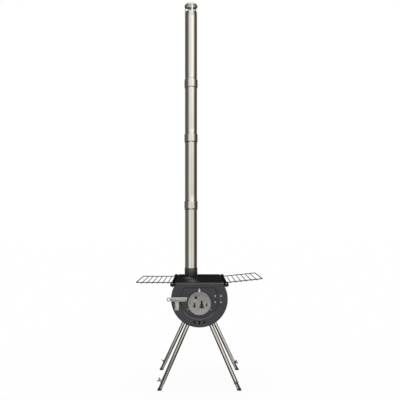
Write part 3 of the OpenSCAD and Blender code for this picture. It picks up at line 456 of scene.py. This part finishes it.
# Points closer than merge are one point, and faces within flat degrees are one face. Edges sharper than
# bevelFrom degrees are rounded, and the chosen ones sharper than corner degrees are rounded more widely.
edgeLook = {"merge": 0.002, "flat": 0.6, "onFace": 0.02, "corner": 60, "wideSteps": 4, "bevelFrom": 32,
            "smooth": 50}


# A copy of a node whose edges are rounded as real sheet, bar and casting edges are, some of them more widely
def softenEdges(node, width, segments=2, wide=None, wideWidth=1.0, finish=None):
    bm = bmesh.new()
    bm.from_mesh(nodes[node].data)
    bmesh.ops.remove_doubles(bm, verts=bm.verts, dist=edgeLook["merge"] * mm)
    bmesh.ops.dissolve_limit(bm, angle_limit=radians(edgeLook["flat"]), verts=bm.verts, edges=bm.edges)
    if wide:
        chosen = [e for e in bm.edges if wide(e) and e.calc_face_angle(0) > radians(edgeLook["corner"])]
        bmesh.ops.bevel(bm, geom=chosen, offset=wideWidth * mm, segments=edgeLook["wideSteps"], profile=0.5,
                        affect="EDGES", clamp_overlap=True)
    piece = finishPiece(node + "_soft", bm, slotOf[node], bodyOf[node], [node], finish=finish)
    bevel = piece.modifiers.new("edges", "BEVEL")
    bevel.width = width * mm
    bevel.segments = segments
    bevel.limit_method = "ANGLE"
    bevel.angle_limit = radians(edgeLook["bevelFrom"])
    bevel.use_clamp_overlap = True
    applyModifiers(piece)
    smooth(piece.data, edgeLook["smooth"])


def ringPoints(centre, radius, first, second, count):
    turns = [2 * pi * i / count for i in range(count)]
    return [centre + radius * (cos(t) * first + sin(t) * second) for t in turns]


def joinRings(bm, rings, closed=False):
    pairs = list(zip(rings, rings[1:] + rings[:1])) if closed else list(zip(rings, rings[1:]))
    for one, two in pairs:
        count = len(one)
        for i in range(count):
            bm.faces.new((one[i], one[(i + 1) % count], two[(i + 1) % count], two[i]))


barLook = {"sides": 14, "endShares": (0.5, 0.85), "endLength": 0.5}


# A round bar along points, with rounded ends
def sweepBar(bm, points, radius):
    rings = []
    normal = None
    for i, point in enumerate(points):
        before = points[max(i - 1, 0)]
        after = points[min(i + 1, len(points) - 1)]
        along = (after - before).normalized()
        if normal is None:
            normal = along.orthogonal().normalized()
        normal = (normal - normal.dot(along) * along).normalized()
        across = along.cross(normal)
        rings.append([bm.verts.new(p) for p in ringPoints(point, radius, normal, across, barLook["sides"])])
    joinRings(bm, rings)
    for ring, inner, outer in ((rings[0], points[1], points[0]), (rings[-1], points[-2], points[-1])):
        along = (outer - inner).normalized()
        last = ring
        for share in barLook["endShares"]:
            shrink = sqrt(1 - share * share)
            rise = along * radius * share * barLook["endLength"]
            cap = [bm.verts.new(outer + (v.co - outer) * shrink + rise) for v in ring]
            joinRings(bm, [last, cap])
            last = cap
        bm.faces.new(last)


# Points round an arc, from one angle to another, in the plane of two directions
def arcPoints(centre, radius, first, second, start, stop, count):
    turns = [radians(start + (stop - start) * i / count) for i in range(count + 1)]
    return [centre + radius * (cos(t) * first + sin(t) * second) for t in turns]


# A shape turned round a vertical axis from a profile of radius and height in millimetres
def turnProfile(bm, x, y, profile, segments=96, bulge=None, closed=True):
    rings = []
    for radius, height in profile:
        ring = []
        for i in range(segments):
            turn = 2 * pi * i / segments
            r = radius + (bulge(turn, radius, height) if bulge else 0)
            ring.append(bm.verts.new((x + r * mm * cos(turn), y + r * mm * sin(turn), height * mm)))
        rings.append(ring)
    joinRings(bm, rings, closed)
    return rings


weldLook = {"ripple": 0.12, "sides": 8, "smooth": 80}


# A weld bead: a fat line of overlapping drops along points, back to the first
def weldBead(name, points, radius, slot, body):
    bm = bmesh.new()
    count = len(points)
    rings = []
    for i, point in enumerate(points):
        along = (points[(i + 1) % count] - points[i - 1]).normalized()
        normal = along.orthogonal().normalized()
        swell = radius * (1 + weldLook["ripple"] * (1 if i % 2 else -1))
        ring = ringPoints(point, swell, normal, along.cross(normal), weldLook["sides"])
        rings.append([bm.verts.new(p) for p in ring])
    joinRings(bm, rings, closed=True)
    finishPiece(name, bm, slot, body, angle=weldLook["smooth"])


# Stove body

bodyLook = {"panelEdge": 0.35, "doorwayEdge": 1.3, "doorEdge": 1.2, "plateEdge": 0.9, "bracketEdge": 0.5,
            "grateEdge": 0.5, "doorwayFrom": 45.0, "doorFrom": 52.0, "doorTo": 94.0,
            "weldR": 1.1, "weldSpread": 0.8, "weldDrops": 40}


# Picks the edges of a face turned to the front at y, by least and most distance in mm from the drum's axis
def frontEdges(y, near, far):
    low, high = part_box("front_panel")
    axisZ = low.z + (high.x - low.x) / 2

    def inside(vert):
        onFace = abs(vert.co.y - y) < edgeLook["onFace"] * mm
        return onFace and near < hypot(vert.co.x, vert.co.z - axisZ) / mm < far

    return lambda edge: all(inside(vert) for vert in edge.verts)


def buildBody():
    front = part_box("front_panel")[0].y
    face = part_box("door_panel")[0].y
    softenEdges("rear_panel", bodyLook["panelEdge"])
    doorwayEdges = frontEdges(front, bodyLook["doorwayFrom"], bodyLook["doorTo"])
    doorEdges = frontEdges(face, bodyLook["doorFrom"], bodyLook["doorTo"])
    softenEdges("front_panel", bodyLook["panelEdge"], wide=doorwayEdges, wideWidth=bodyLook["doorwayEdge"])
    softenEdges("door_panel", bodyLook["panelEdge"], wide=doorEdges, wideWidth=bodyLook["doorEdge"])
    softenEdges("top_plate", bodyLook["plateEdge"], segments=3)
    for side in ("left", "right"):
        softenEdges("rack_bracket_" + side, bodyLook["bracketEdge"])
    softenEdges("fire_grate", bodyLook["grateEdge"])
    low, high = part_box("barrel_shell")
    shellR = (high.x - low.x) / 2
    axisZ = low.z + shellR
    for name in corners:
        along = Vector(joints["leg_" + name + "_slide"]["axis"])
        side = Vector((-along.z, 0, along.x))
        low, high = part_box("leg_stud_" + name)
        sleeveR = (high.y - low.y) / 2 + bodyLook["weldSpread"] * mm
        start = Vector((0, (low.y + high.y) / 2, axisZ))
        points = []
        for i in range(bodyLook["weldDrops"]):
            turn = 2 * pi * i / bodyLook["weldDrops"]
            off = sleeveR * cos(turn)
            reach = sqrt(shellR ** 2 - off ** 2)
            points.append(start + along * reach + side * off + Vector((0, sleeveR * sin(turn), 0)))
        weldBead("weld_stud_" + name, points, bodyLook["weldR"] * mm, "black_sheet", "stove_body")


# Under the door the panel is pressed forward in a low rim that catches the light. Each pair is a distance out
# past the gap round the door and how far the rim stands proud there. It fades into the panel at both ends.
rimLook = {"gap": 1.5, "profile": [(-0.2, -1.0), (0.1, 0.1), (1.2, 0.9), (2.4, 1.4), (3.3, 1.5), (4.6, 1.0),
                                   (6.5, 0.3), (8.5, -0.4)],
           "start": -155.0, "stop": -25.0, "fade": 40.0, "steps": 90, "buried": 0.6, "behind": 1.2,
           "smooth": 50}


def buildDoorRim():
    look = rimLook
    low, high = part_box("front_panel")
    axisZ = low.z + (high.x - low.x) / 2
    lowD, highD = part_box("door_panel")
    edgeR = (highD.x - lowD.x) / 2 + look["gap"] * mm
    bm = bmesh.new()
    rings = []
    for i in range(look["steps"] + 1):
        angle = look["start"] + (look["stop"] - look["start"]) * i / look["steps"]
        share = min(1.0, (angle - look["start"]) / look["fade"], (look["stop"] - angle) / look["fade"])
        swell = 0.5 - 0.5 * cos(pi * share)
        face = [(out, rise * swell - look["buried"] * (1 - swell)) for out, rise in look["profile"]]
        back = [(out, -look["behind"]) for out, _ in look["profile"][::-1]]
        turn = radians(angle)
        ring = []
        for out, proud in face + back:
            r = edgeR + out * mm
            ring.append(bm.verts.new((r * cos(turn), low.y - proud * mm, axisZ + r * sin(turn))))
        rings.append(ring)
    joinRings(bm, rings)
    bm.faces.new(rings[0])
    bm.faces.new(rings[-1])
    # The rim gets a lighter copy of the panel's paint, a painted highlight where it catches the light from above
    finishPiece("door_rim", bm, "charcoal_sheet", "stove_body", angle=look["smooth"], finish="rim_highlight_paint")


buildBody()
buildDoorRim()
print("stove body done")


# Flue collar, with the weld that holds it to the plate

collarLook = {"wall": 1.6, "ledge": 2.9, "rimRound": 0.5, "rimCut": 0.15, "footCut": 0.25, "weldR": 1.6,
              "weldOut": 0.7, "weldUp": 0.6, "drops": 64}


def buildCollar():
    low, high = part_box("flue_collar")
    x, y = (low.x + high.x) / 2, (low.y + high.y) / 2
    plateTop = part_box("top_plate")[1].z / mm
    top, bottom = high.z / mm, low.z / mm
    outer = (high.x - low.x) / 2 / mm
    inner = outer - collarLook["wall"]
    ledgeIn, ledgeT = inner - collarLook["ledge"], collarLook["wall"]
    roundR, cut, footCut = collarLook["rimRound"], collarLook["rimCut"], collarLook["footCut"]
    profile = [(outer, bottom + roundR), (outer, top - roundR), (outer - cut, top - cut),
               (outer - roundR, top), (inner + roundR, top), (inner + cut, top - cut),
               (inner, top - roundR), (inner, plateTop), (ledgeIn, plateTop), (ledgeIn, plateTop - ledgeT),
               (inner, plateTop - ledgeT), (inner, bottom + roundR), (inner + footCut, bottom),
               (outer - footCut, bottom)]
    bm = bmesh.new()
    turnProfile(bm, x, y, profile)
    finishPiece("collar_tube", bm, "black_sheet", "stove_body", ["flue_collar"], finish="collar_paint")
    centre = Vector((x, y, (plateTop + collarLook["weldUp"]) * mm))
    reach = (outer + collarLook["weldOut"]) * mm
    ring = ringPoints(centre, reach, Vector((1, 0, 0)), Vector((0, 1, 0)), collarLook["drops"])
    weldBead("weld_collar", ring, collarLook["weldR"] * mm, "black_sheet", "stove_body")


buildCollar()
print("collar done")


# Stovepipe: rolled sections with swelled sockets and a folded seam down the back

# The sleeve is pairs of height above the socket's lip and how far it swells past the socket's wall
pipeLook = {"sleeve": [(0.4, 0.35), (1.2, 0.75), (3.0, 1.25), (5.0, 1.72), (6.6, 1.95), (8.0, 2.0),
                       (16.0, 2.0), (24.0, 2.0), (32.0, 2.0), (40.0, 2.0), (41.5, 1.93), (43.2, 1.6),
                       (45.2, 0.85), (47.0, 0.1), (48.2, -0.45), (49.2, -0.85), (50.0, -1.1)],
            "wall": 0.8, "gap": 0.1, "socketT": 1.0, "socketIn": 47.0, "socketL": 49.0, "lip": 0.3,
            "lipIn": 0.5, "rim": 0.4, "rimIn": 0.25, "seamHalf": 5.0, "seamH": 0.7, "seamSteep": 4,
            "steps": 10, "segments": 144, "smooth": 40}


def buildPipes():
    look = pipeLook
    low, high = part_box("pipe_section_1")
    x, y = (low.x + high.x) / 2, (low.y + high.y) / 2
    pipeR = (high.x - low.x) / 2 / mm
    inR = pipeR - look["wall"]
    socketIn = pipeR + look["gap"]
    socketR = socketIn + look["socketT"]
    for number in (1, 2, 3, 4):
        node = f"pipe_section_{number}"
        low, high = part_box(node)
        bottom, top = low.z / mm, high.z / mm
        tucked = top - look["socketL"] if number < 4 else top
        if number == 1:
            profile = [(inR, bottom), (pipeR - look["lip"], bottom), (pipeR, bottom + look["lip"])]
        else:
            ceiling = bottom + look["socketIn"]
            profile = [(inR, ceiling), (socketIn, ceiling), (socketIn, bottom + look["lipIn"]),
                       (socketIn + look["lip"], bottom), (socketR, bottom)]
            profile += [(socketR + swell, bottom + height) for height, swell in look["sleeve"]]
        start = profile[-1][1]
        run = top - look["rim"] - start
        profile += [(pipeR, start + run * (i + 1) / look["steps"]) for i in range(look["steps"])]
        profile += [(pipeR - look["rimIn"], top), (inR + look["rimIn"], top), (inR, top - look["rim"])]

        def seam(turn, radius, height, tucked=tucked):
            if radius < pipeR - look["rim"] or height > tucked:
                return 0
            off = abs((turn - pi / 2 + pi) % (2 * pi) - pi)
            share = 1 - off / radians(look["seamHalf"])
            return look["seamH"] * min(1, max(0, share) * look["seamSteep"])

        bm = bmesh.new()
        turnProfile(bm, x, y, profile, look["segments"], seam)
        finishPiece(f"pipe_{number}_rolled", bm, "polished_steel", f"pipe_{number}", [node], look["smooth"])


buildPipes()
print("stovepipe done")


# Rain cap with a rolled rim, and its flat straps

capLook = {"shoulder": 14.0, "sheet": 0.8, "rimR": 0.9, "rollFrom": -200, "rollStep": 20, "rollPoints": 11,
           "steps": 14, "around": 96, "smooth": 50, "strapEdge": 0.25}


def buildCap():
    look = capLook
    low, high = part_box("rain_cap")
    x, y = (low.x + high.x) / 2, (low.y + high.y) / 2
    rimR, rise, base = (high.x - low.x) / 2 / mm, (high.z - low.z) / mm, low.z / mm
    shoulder, sheet, around, steps = look["shoulder"], look["sheet"], look["around"], look["steps"]
    crown = (rimR ** 2 + rise ** 2 - 2 * rimR * shoulder) / (2 * (rise - shoulder))
    lean = atan2(rimR - shoulder, crown - rise)

    def curve(shrink):
        side = [((rimR - shoulder) + (shoulder - shrink) * cos(t), base + (shoulder - shrink) * sin(t))
                for t in [(pi / 2 - lean) * i / steps for i in range(steps + 1)]]
        roof = [((crown - shrink) * sin(t), base + rise - crown + (crown - shrink) * cos(t))
                for t in [lean * (1 - i / steps) for i in range(1, steps)]]
        return (side + roof)[2:]

    rim = look["rimR"]
    roll = [(rimR - rim + rim * cos(t), base + rim + rim * sin(t))
            for t in [radians(look["rollFrom"] + look["rollStep"] * i) for i in range(look["rollPoints"])]]
    bm = bmesh.new()
    rings = turnProfile(bm, x, y, curve(sheet)[::-1] + roll + curve(0), around, closed=False)
    for ring, height in ((rings[0], base + rise - sheet), (rings[-1], base + rise)):
        tip = bm.verts.new((x, y, height * mm))
        for i in range(around):
            bm.faces.new((ring[i], ring[(i + 1) % around], tip))
    finishPiece("cap_dome", bm, "polished_steel", "pipe_4", ["rain_cap"], look["smooth"], "cap_steel")
    softenEdges("cap_straps", look["strapEdge"])


buildCap()
print("cap done")


# Wire racks: one bent frame wire with an eye round each end of the rod, and welded cross wires

rackLook = {"wireR": 2.3, "crossR": 1.9, "eyeR": 5.55, "reach": 172.5, "cornerR": 4.0, "cornerSteps": 6,
            "eyeSteps": 22, "crossPitch": 25.1, "crossCount": 6, "tilt": {"left": 0.0, "right": 6.0},
            "tail": 9.0, "lead": 30.0, "bendLead": 5.0, "crossTail": 3.5, "crossIn": 0.9, "sink": 0.4,
            "weldR": 1.5, "weldSunk": 0.2, "weldSquash": (1.5, 1.5, 0.7, 1.0), "smooth": 60}


def buildRack(side):
    look = rackLook
    sign = -1 if side == "left" else 1
    node = "rack_" + side
    joint = joints["rack_" + side + "_fold"]
    tilt = radians(look["tilt"][side])
    out = Vector((sign * cos(tilt), 0, sin(tilt)))
    up = Vector((-sign * sin(tilt), 0, cos(tilt)))
    back = Vector((0, 1, 0))
    rod = Vector((joint["pos_m"][0], 0, joint["pos_m"][2]))
    low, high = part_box(node)
    wireR = look["wireR"] * mm
    eyeR = look["eyeR"] * mm
    reach = look["reach"] * mm
    front = low.y + look["crossTail"] * mm
    rear = high.y - wireR
    cornerR = look["cornerR"] * mm
    points = []
    for end, sweep in ((front, 1), (rear, -1)):
        start = rod + Vector((0, end, 0))
        line = [start - up * eyeR + out * look["tail"] * share * mm for share in (1.0, 0.5)]
        line += arcPoints(start, eyeR, -up, -out, 0, 180, look["eyeSteps"])
        line.append(start + up * eyeR + out * look["lead"] * mm)
        line.append(start + up * eyeR + out * (reach - cornerR - look["bendLead"] * mm))
        corner = start + up * eyeR + out * (reach - cornerR) + back * cornerR * sweep
        line += arcPoints(corner, cornerR, -back * sweep, out, 0, 90, look["cornerSteps"])
        points.append(line)
    bm = bmesh.new()
    sweepBar(bm, points[0] + points[1][::-1], wireR)
    crossR = look["crossR"] * mm
    crossUp = eyeR - wireR - crossR + look["sink"] * mm
    for i in range(1, look["crossCount"] + 1):
        base = rod + out * (reach - i * look["crossPitch"] * mm) + up * crossUp
        first = base + Vector((0, low.y + look["crossIn"] * mm, 0))
        last = base + Vector((0, high.y - look["crossIn"] * mm, 0))
        lead = back * look["bendLead"] * mm
        sweepBar(bm, [first, first + lead, last - lead, last], crossR)
        for end in (front, rear):
            nugget = base + Vector((0, end, 0)) + up * (crossR - look["weldSunk"] * mm)
            squash = Matrix.Diagonal(look["weldSquash"])
            bmesh.ops.create_icosphere(bm, subdivisions=2, radius=look["weldR"] * mm,
                                       matrix=Matrix.Translation(nugget) @ squash)
    finishPiece("rack_" + side + "_wire", bm, "rack_wire", bodyOf[node], [node], look["smooth"])


# A small bright stub stands in the middle of each rod's black head
rodLook = {"stubR": 2.7, "stubH": 1.6, "sunk": 0.8, "dome": 84, "steps": 5, "around": 20, "smooth": 50}


def buildRodEnds(side):
    look = rodLook
    node = "rack_rod_" + side
    low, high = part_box(node)
    x, z = (low.x + high.x) / 2, (low.z + high.z) / 2
    bm = bmesh.new()
    for y, out in ((low.y, -1), (high.y, 1)):
        rings = []
        for k in range(look["steps"] + 1):
            turn = radians(look["dome"]) * k / look["steps"]
            centre = Vector((x, y + out * (look["stubH"] * sin(turn) - look["sunk"]) * mm, z))
            radius = look["stubR"] * mm * cos(turn)
            ring = ringPoints(centre, radius, Vector((1, 0, 0)), Vector((0, 0, 1)), look["around"])
            rings.append([bm.verts.new(p) for p in ring])
        joinRings(bm, rings)
        bm.faces.new(rings[0])
        bm.faces.new(rings[-1])
    finishPiece("rod_ends_" + side, bm, "plated_steel", bodyOf[node], angle=look["smooth"])


for side in ("left", "right"):
    buildRack(side)
    buildRodEnds(side)
print("racks done")


# Door fittings: hinge, window, latch and catch

fittingLook = {"leafEdge": 0.25, "coverEdge": 0.2, "clipEdge": 0.3, "latchEdge": 0.45, "catchEdge": 0.3}
headLook = {"height": 1.4, "flatness": 0.96, "slotHalf": 0.45, "slotDeep": 0.8, "slotShare": 0.66,
            "shankShare": 0.55, "rings": 8, "around": 32, "smooth": 40}


# The loose parts of a mesh, each as a list of its points, in the same order each run
def loosePieces(bm):
    left = dict.fromkeys(bm.verts)
    while left:
        patch = [left.popitem()[0]]
        island = list(patch)
        while patch:
            for edge in patch.pop().link_edges:
                for vert in edge.verts:
                    if vert in left:
                        left.pop(vert)
                        island.append(vert)
                        patch.append(vert)
        yield island


# A pan head with a cross recess and a shank behind it, in place of one screw's points
def shapeScrew(bm, island):
    look = headLook
    headH, slotDeep, around = look["height"] * mm, look["slotDeep"] * mm, look["around"]
    lowX, lowY, lowZ = (min(v.co[i] for v in island) for i in range(3))
    highX, highY, highZ = (max(v.co[i] for v in island) for i in range(3))
    x, z, headR = (lowX + highX) / 2, (lowZ + highZ) / 2, (highX - lowX) / 2
    rings = []
    for k in range(look["rings"]):
        share = (k + 1) / look["rings"]
        ring = []
        for i in range(around):
            turn = 2 * pi * i / around
            dx, dz = headR * share * cos(turn), headR * share * sin(turn)
            deep = headH * (1 - sqrt(1 - share ** 2 * look["flatness"]))
            if min(abs(dx), abs(dz)) < look["slotHalf"] * mm and share < look["slotShare"]:
                deep += slotDeep
            ring.append(bm.verts.new((x + dx, lowY + deep, z + dz)))
        rings.append(ring)
    joinRings(bm, rings)
    tip = bm.verts.new((x, lowY + slotDeep, z))
    for i in range(around):
        bm.faces.new((rings[0][i], rings[0][(i + 1) % around], tip))
    skirt = [bm.verts.new((v.co.x, lowY + headH, v.co.z)) for v in rings[-1]]
    axis = Vector((x, lowY + headH, z))
    shank = [bm.verts.new(axis + (v.co - axis) * look["shankShare"]) for v in skirt]
    end = [bm.verts.new((v.co.x, highY, v.co.z)) for v in shank]
    joinRings(bm, [rings[-1], skirt, shank, end])
    bm.faces.new(end)


def buildScrewHeads():
    node = "clip_screws"
    source = bmesh.new()
    source.from_mesh(nodes[node].data)
    bmesh.ops.remove_doubles(source, verts=source.verts, dist=edgeLook["merge"] * mm)
    bm = bmesh.new()
    for island in loosePieces(source):
        shapeScrew(bm, island)
    source.free()
    finishPiece("clip_screw_heads", bm, slotOf[node], bodyOf[node], [node], headLook["smooth"])


def buildFittings():
    for node in ("hinge_leaf_body", "hinge_leaf_door"):
        softenEdges(node, fittingLook["leafEdge"])
    softenEdges("window_cover", fittingLook["coverEdge"])
    softenEdges("window_clips", fittingLook["clipEdge"], finish="clip_steel")
    softenEdges("latch_bar", fittingLook["latchEdge"], finish="latch_steel")
    softenEdges("latch_catch", fittingLook["catchEdge"], finish="catch_steel")
    buildScrewHeads()


buildFittings()
print("door fittings done")


# Legs

legLook = {"tubeEdge": 0.3, "footEdge": 0.9, "wingEdge": 0.8, "studEdge": 0.8, "buttonEdge": 1.0}


def buildLegs():
    for name in corners:
        softenEdges("leg_tube_" + name, legLook["tubeEdge"])
        softenEdges("leg_extension_" + name, legLook["tubeEdge"])
        softenEdges("leg_stud_" + name, legLook["studEdge"])
        softenEdges("foot_" + name, legLook["footEdge"], segments=3)
        softenEdges("wing_screw_" + name, legLook["wingEdge"], segments=3, finish="wing_steel")
    softenEdges("leg_buttons", legLook["buttonEdge"], segments=4)


buildLegs()
print("legs done")

for name, node in nodes.items():
    setMaterial(node, slotOf[name])
    smooth(node.data)
setMaterial(nodes["latch_pivot"], "latch_steel")


# Studio: pale floor, camera, soft lights and what the polished steel reflects

floorLook = {"pale": 0.06, "glow": 0.905, "half": 30.0}


def buildFloor():
    look = floorLook
    bm = bmesh.new()
    bmesh.ops.create_grid(bm, x_segments=1, y_segments=1, size=look["half"])
    mesh = bpy.data.meshes.new("floor")
    bm.to_mesh(mesh)
    bm.free()
    floor = bpy.data.objects.new("floor", mesh)
    bpy.context.scene.collection.objects.link(floor)
    material, _, shader = startMaterial("paleFloor", 1.0, Specular_IOR_Level=0.0,
                                        Emission_Strength=look["glow"])
    shader.inputs["Base Color"].default_value = tone((1, 1, 1), look["pale"])
    shader.inputs["Emission Color"].default_value = (1, 1, 1, 1)
    mesh.materials.append(material)
    floor.visible_glossy = False


cameraLook = {"place": (-6.7, -2486.0, 778.0), "lens": 43.2, "sensor": 36.0, "shiftX": 0.005,
              "shiftY": 0.0725, "farthest": 100.0}


def buildCamera():
    data = bpy.data.cameras.new("camera")
    data.lens = cameraLook["lens"]
    data.sensor_width = cameraLook["sensor"]
    data.shift_x = cameraLook["shiftX"]
    data.shift_y = cameraLook["shiftY"]
    data.clip_end = cameraLook["farthest"]
    camera = bpy.data.objects.new("camera", data)
    camera.location = Vector(cameraLook["place"]) * mm
    camera.rotation_euler = (radians(90), 0, 0)
    bpy.context.scene.collection.objects.link(camera)
    bpy.context.scene.camera = camera


# What glossy surfaces see: colours round the horizon, by the angle from the front towards the right, in four
# bands: the floor, just under the level, the level and high up. Matt surfaces are lit by a soft white dome.
studioLook = {
    "floor": [(-180, (0.65, 0.64, 0.62)), (-130, (0.5, 0.49, 0.47)), (-105, (0.05, 0.048, 0.043)),
              (-75, (0.05, 0.048, 0.043)), (-45, (0.6, 0.59, 0.57)), (0, (0.85, 0.84, 0.81)),
              (45, (0.6, 0.59, 0.57)), (75, (0.05, 0.048, 0.043)), (105, (0.05, 0.048, 0.043)),
              (130, (0.5, 0.49, 0.47)), (180, (0.65, 0.64, 0.62))],
    "low": [(-180, (0.7, 0.69, 0.67)), (-164, (0.5, 0.49, 0.47)), (-154, (0.05, 0.048, 0.043)),
            (-138, (0.06, 0.058, 0.053)), (-118, (0.25, 0.245, 0.23)), (-102, (0.05, 0.048, 0.043)),
            (-88, (0.02, 0.02, 0.018)), (-34, (0.016, 0.016, 0.015)), (-20, (0.16, 0.157, 0.147)),
            (-8, (0.62, 0.61, 0.57)), (4, (0.74, 0.73, 0.69)), (16, (0.5, 0.49, 0.46)),
            (26, (0.12, 0.117, 0.108)), (38, (0.014, 0.014, 0.013)), (88, (0.02, 0.02, 0.018)),
            (102, (0.05, 0.048, 0.043)), (118, (0.25, 0.245, 0.23)), (138, (0.06, 0.058, 0.053)),
            (154, (0.05, 0.048, 0.043)), (164, (0.5, 0.49, 0.47)), (180, (0.7, 0.69, 0.67))],
    "level": [(-180, (0.015, 0.015, 0.015)), (-162, (0.03, 0.03, 0.028)), (-152, (0.35, 0.345, 0.33)),
              (-144, (0.6, 0.59, 0.57)), (-136, (0.35, 0.345, 0.33)), (-126, (0.09, 0.088, 0.07)),
              (-88, (0.175, 0.172, 0.138)), (-62, (0.17, 0.168, 0.138)), (-47, (0.36, 0.355, 0.32)),
              (-36, (0.82, 0.81, 0.78)), (-22, (1.22, 1.2, 1.17)), (-4, (1.02, 1.0, 0.97)),
              (13, (0.8, 0.79, 0.75)), (34, (1.12, 1.1, 1.05)), (48, (0.86, 0.82, 0.74)),
              (58, (0.46, 0.41, 0.34)), (76, (0.13, 0.10, 0.07)), (104, (0.05, 0.044, 0.035)),
              (126, (0.04, 0.037, 0.034)), (136, (0.35, 0.345, 0.33)), (144, (0.6, 0.59, 0.57)),
              (152, (0.35, 0.345, 0.33)), (162, (0.03, 0.03, 0.028)), (180, (0.015, 0.015, 0.015))],
    "high": [(-180, (0.015, 0.015, 0.015)), (-162, (0.03, 0.03, 0.028)), (-152, (0.35, 0.345, 0.33)),
             (-144, (0.6, 0.59, 0.57)), (-136, (0.35, 0.345, 0.33)), (-126, (0.09, 0.088, 0.07)),
             (-86, (0.15, 0.147, 0.12)), (-62, (0.16, 0.157, 0.13)), (-47, (0.42, 0.41, 0.38)),
             (-37, (0.9, 0.89, 0.86)), (-20, (1.2, 1.18, 1.15)), (0, (1.08, 1.06, 1.03)),
             (17, (1.5, 1.5, 1.46)), (38, (1.5, 1.48, 1.44)), (50, (1.1, 1.06, 0.98)),
             (60, (0.62, 0.57, 0.5)), (82, (0.13, 0.105, 0.08)), (112, (0.05, 0.044, 0.036)),
             (126, (0.04, 0.037, 0.034)), (136, (0.35, 0.345, 0.33)), (144, (0.6, 0.59, 0.57)),
             (152, (0.35, 0.345, 0.33)), (162, (0.03, 0.03, 0.028)), (180, (0.015, 0.015, 0.015))],
    "floorEdges": (-50, -40), "lowEdges": (-18, -5), "highEdges": (5, 20), "topEdges": (45, 75),
    "top": (0.85, 0.84, 0.82), "domeLow": 0.8, "domeHigh": 1.9,
}


# The colours of one band round the horizon, where share goes from 0 to 1 round it
def bandColor(tree, share, stops):
    ramp = addNode(tree, "ShaderNodeValToRGB")
    elements = ramp.color_ramp.elements
    for i, (angle, color) in enumerate(stops):
        place = (angle + 180) / 360
        stop = elements[i] if i < 2 else elements.new(place)
        stop.position = place
        stop.color = (*color, 1)
    tree.links.new(share, ramp.inputs[0])
    return ramp.outputs[0]


def buildStudio():
    look = studioLook
    world = bpy.data.worlds.new("studio")
    bpy.context.scene.world = world
    world.use_nodes = True
    tree = world.node_tree
    tree.nodes.clear()
    place = addNode(tree, "ShaderNodeTexCoord")
    split = addNode(tree, "ShaderNodeSeparateXYZ")
    tree.links.new(place.outputs["Generated"], split.inputs[0])
    turn = mathNode(tree, "ARCTAN2", split.outputs[0], mathNode(tree, "MULTIPLY", split.outputs[1], -1.0))
    share = remap(tree, turn, -pi, pi, 0.0, 1.0)
    names = ("floor", "low", "level", "high")
    seen, low, level, high = (bandColor(tree, share, look[name]) for name in names)
    steps = [("floorEdges", low), ("lowEdges", level), ("highEdges", high), ("topEdges", (*look["top"], 1))]
    for edges, band in steps:
        start, stop = (sin(radians(angle)) for angle in look[edges])
        seen = mixColor(tree, remap(tree, split.outputs[2], start, stop, 0.0, 1.0), seen, band)
    glow = addNode(tree, "ShaderNodeBackground")
    tree.links.new(seen, glow.inputs[0])
    dome = addNode(tree, "ShaderNodeBackground", {"Color": (1, 1, 1, 1)})
    strength = remap(tree, split.outputs[2], 0.0, 1.0, look["domeLow"], look["domeHigh"])
    tree.links.new(strength, dome.inputs["Strength"])
    paper = addNode(tree, "ShaderNodeBackground", {"Color": (1, 1, 1, 1), "Strength": 1.0})
    path = addNode(tree, "ShaderNodeLightPath")
    shown = dome.outputs[0]
    for ray, light in (("Is Glossy Ray", glow), ("Is Camera Ray", paper), ("Is Transmission Ray", paper)):
        pick = addNode(tree, "ShaderNodeMixShader")
        tree.links.new(path.outputs[ray], pick.inputs[0])
        tree.links.new(shown, pick.inputs[1])
        tree.links.new(light.outputs[0], pick.inputs[2])
        shown = pick.outputs[0]
    out = addNode(tree, "ShaderNodeOutputWorld")
    tree.links.new(shown, out.inputs[0])
    world.cycles.sampling_method = "NONE"


buildFloor()
buildCamera()
buildStudio()
bpy.context.scene.view_settings.view_transform = "Standard"
print("studio done")
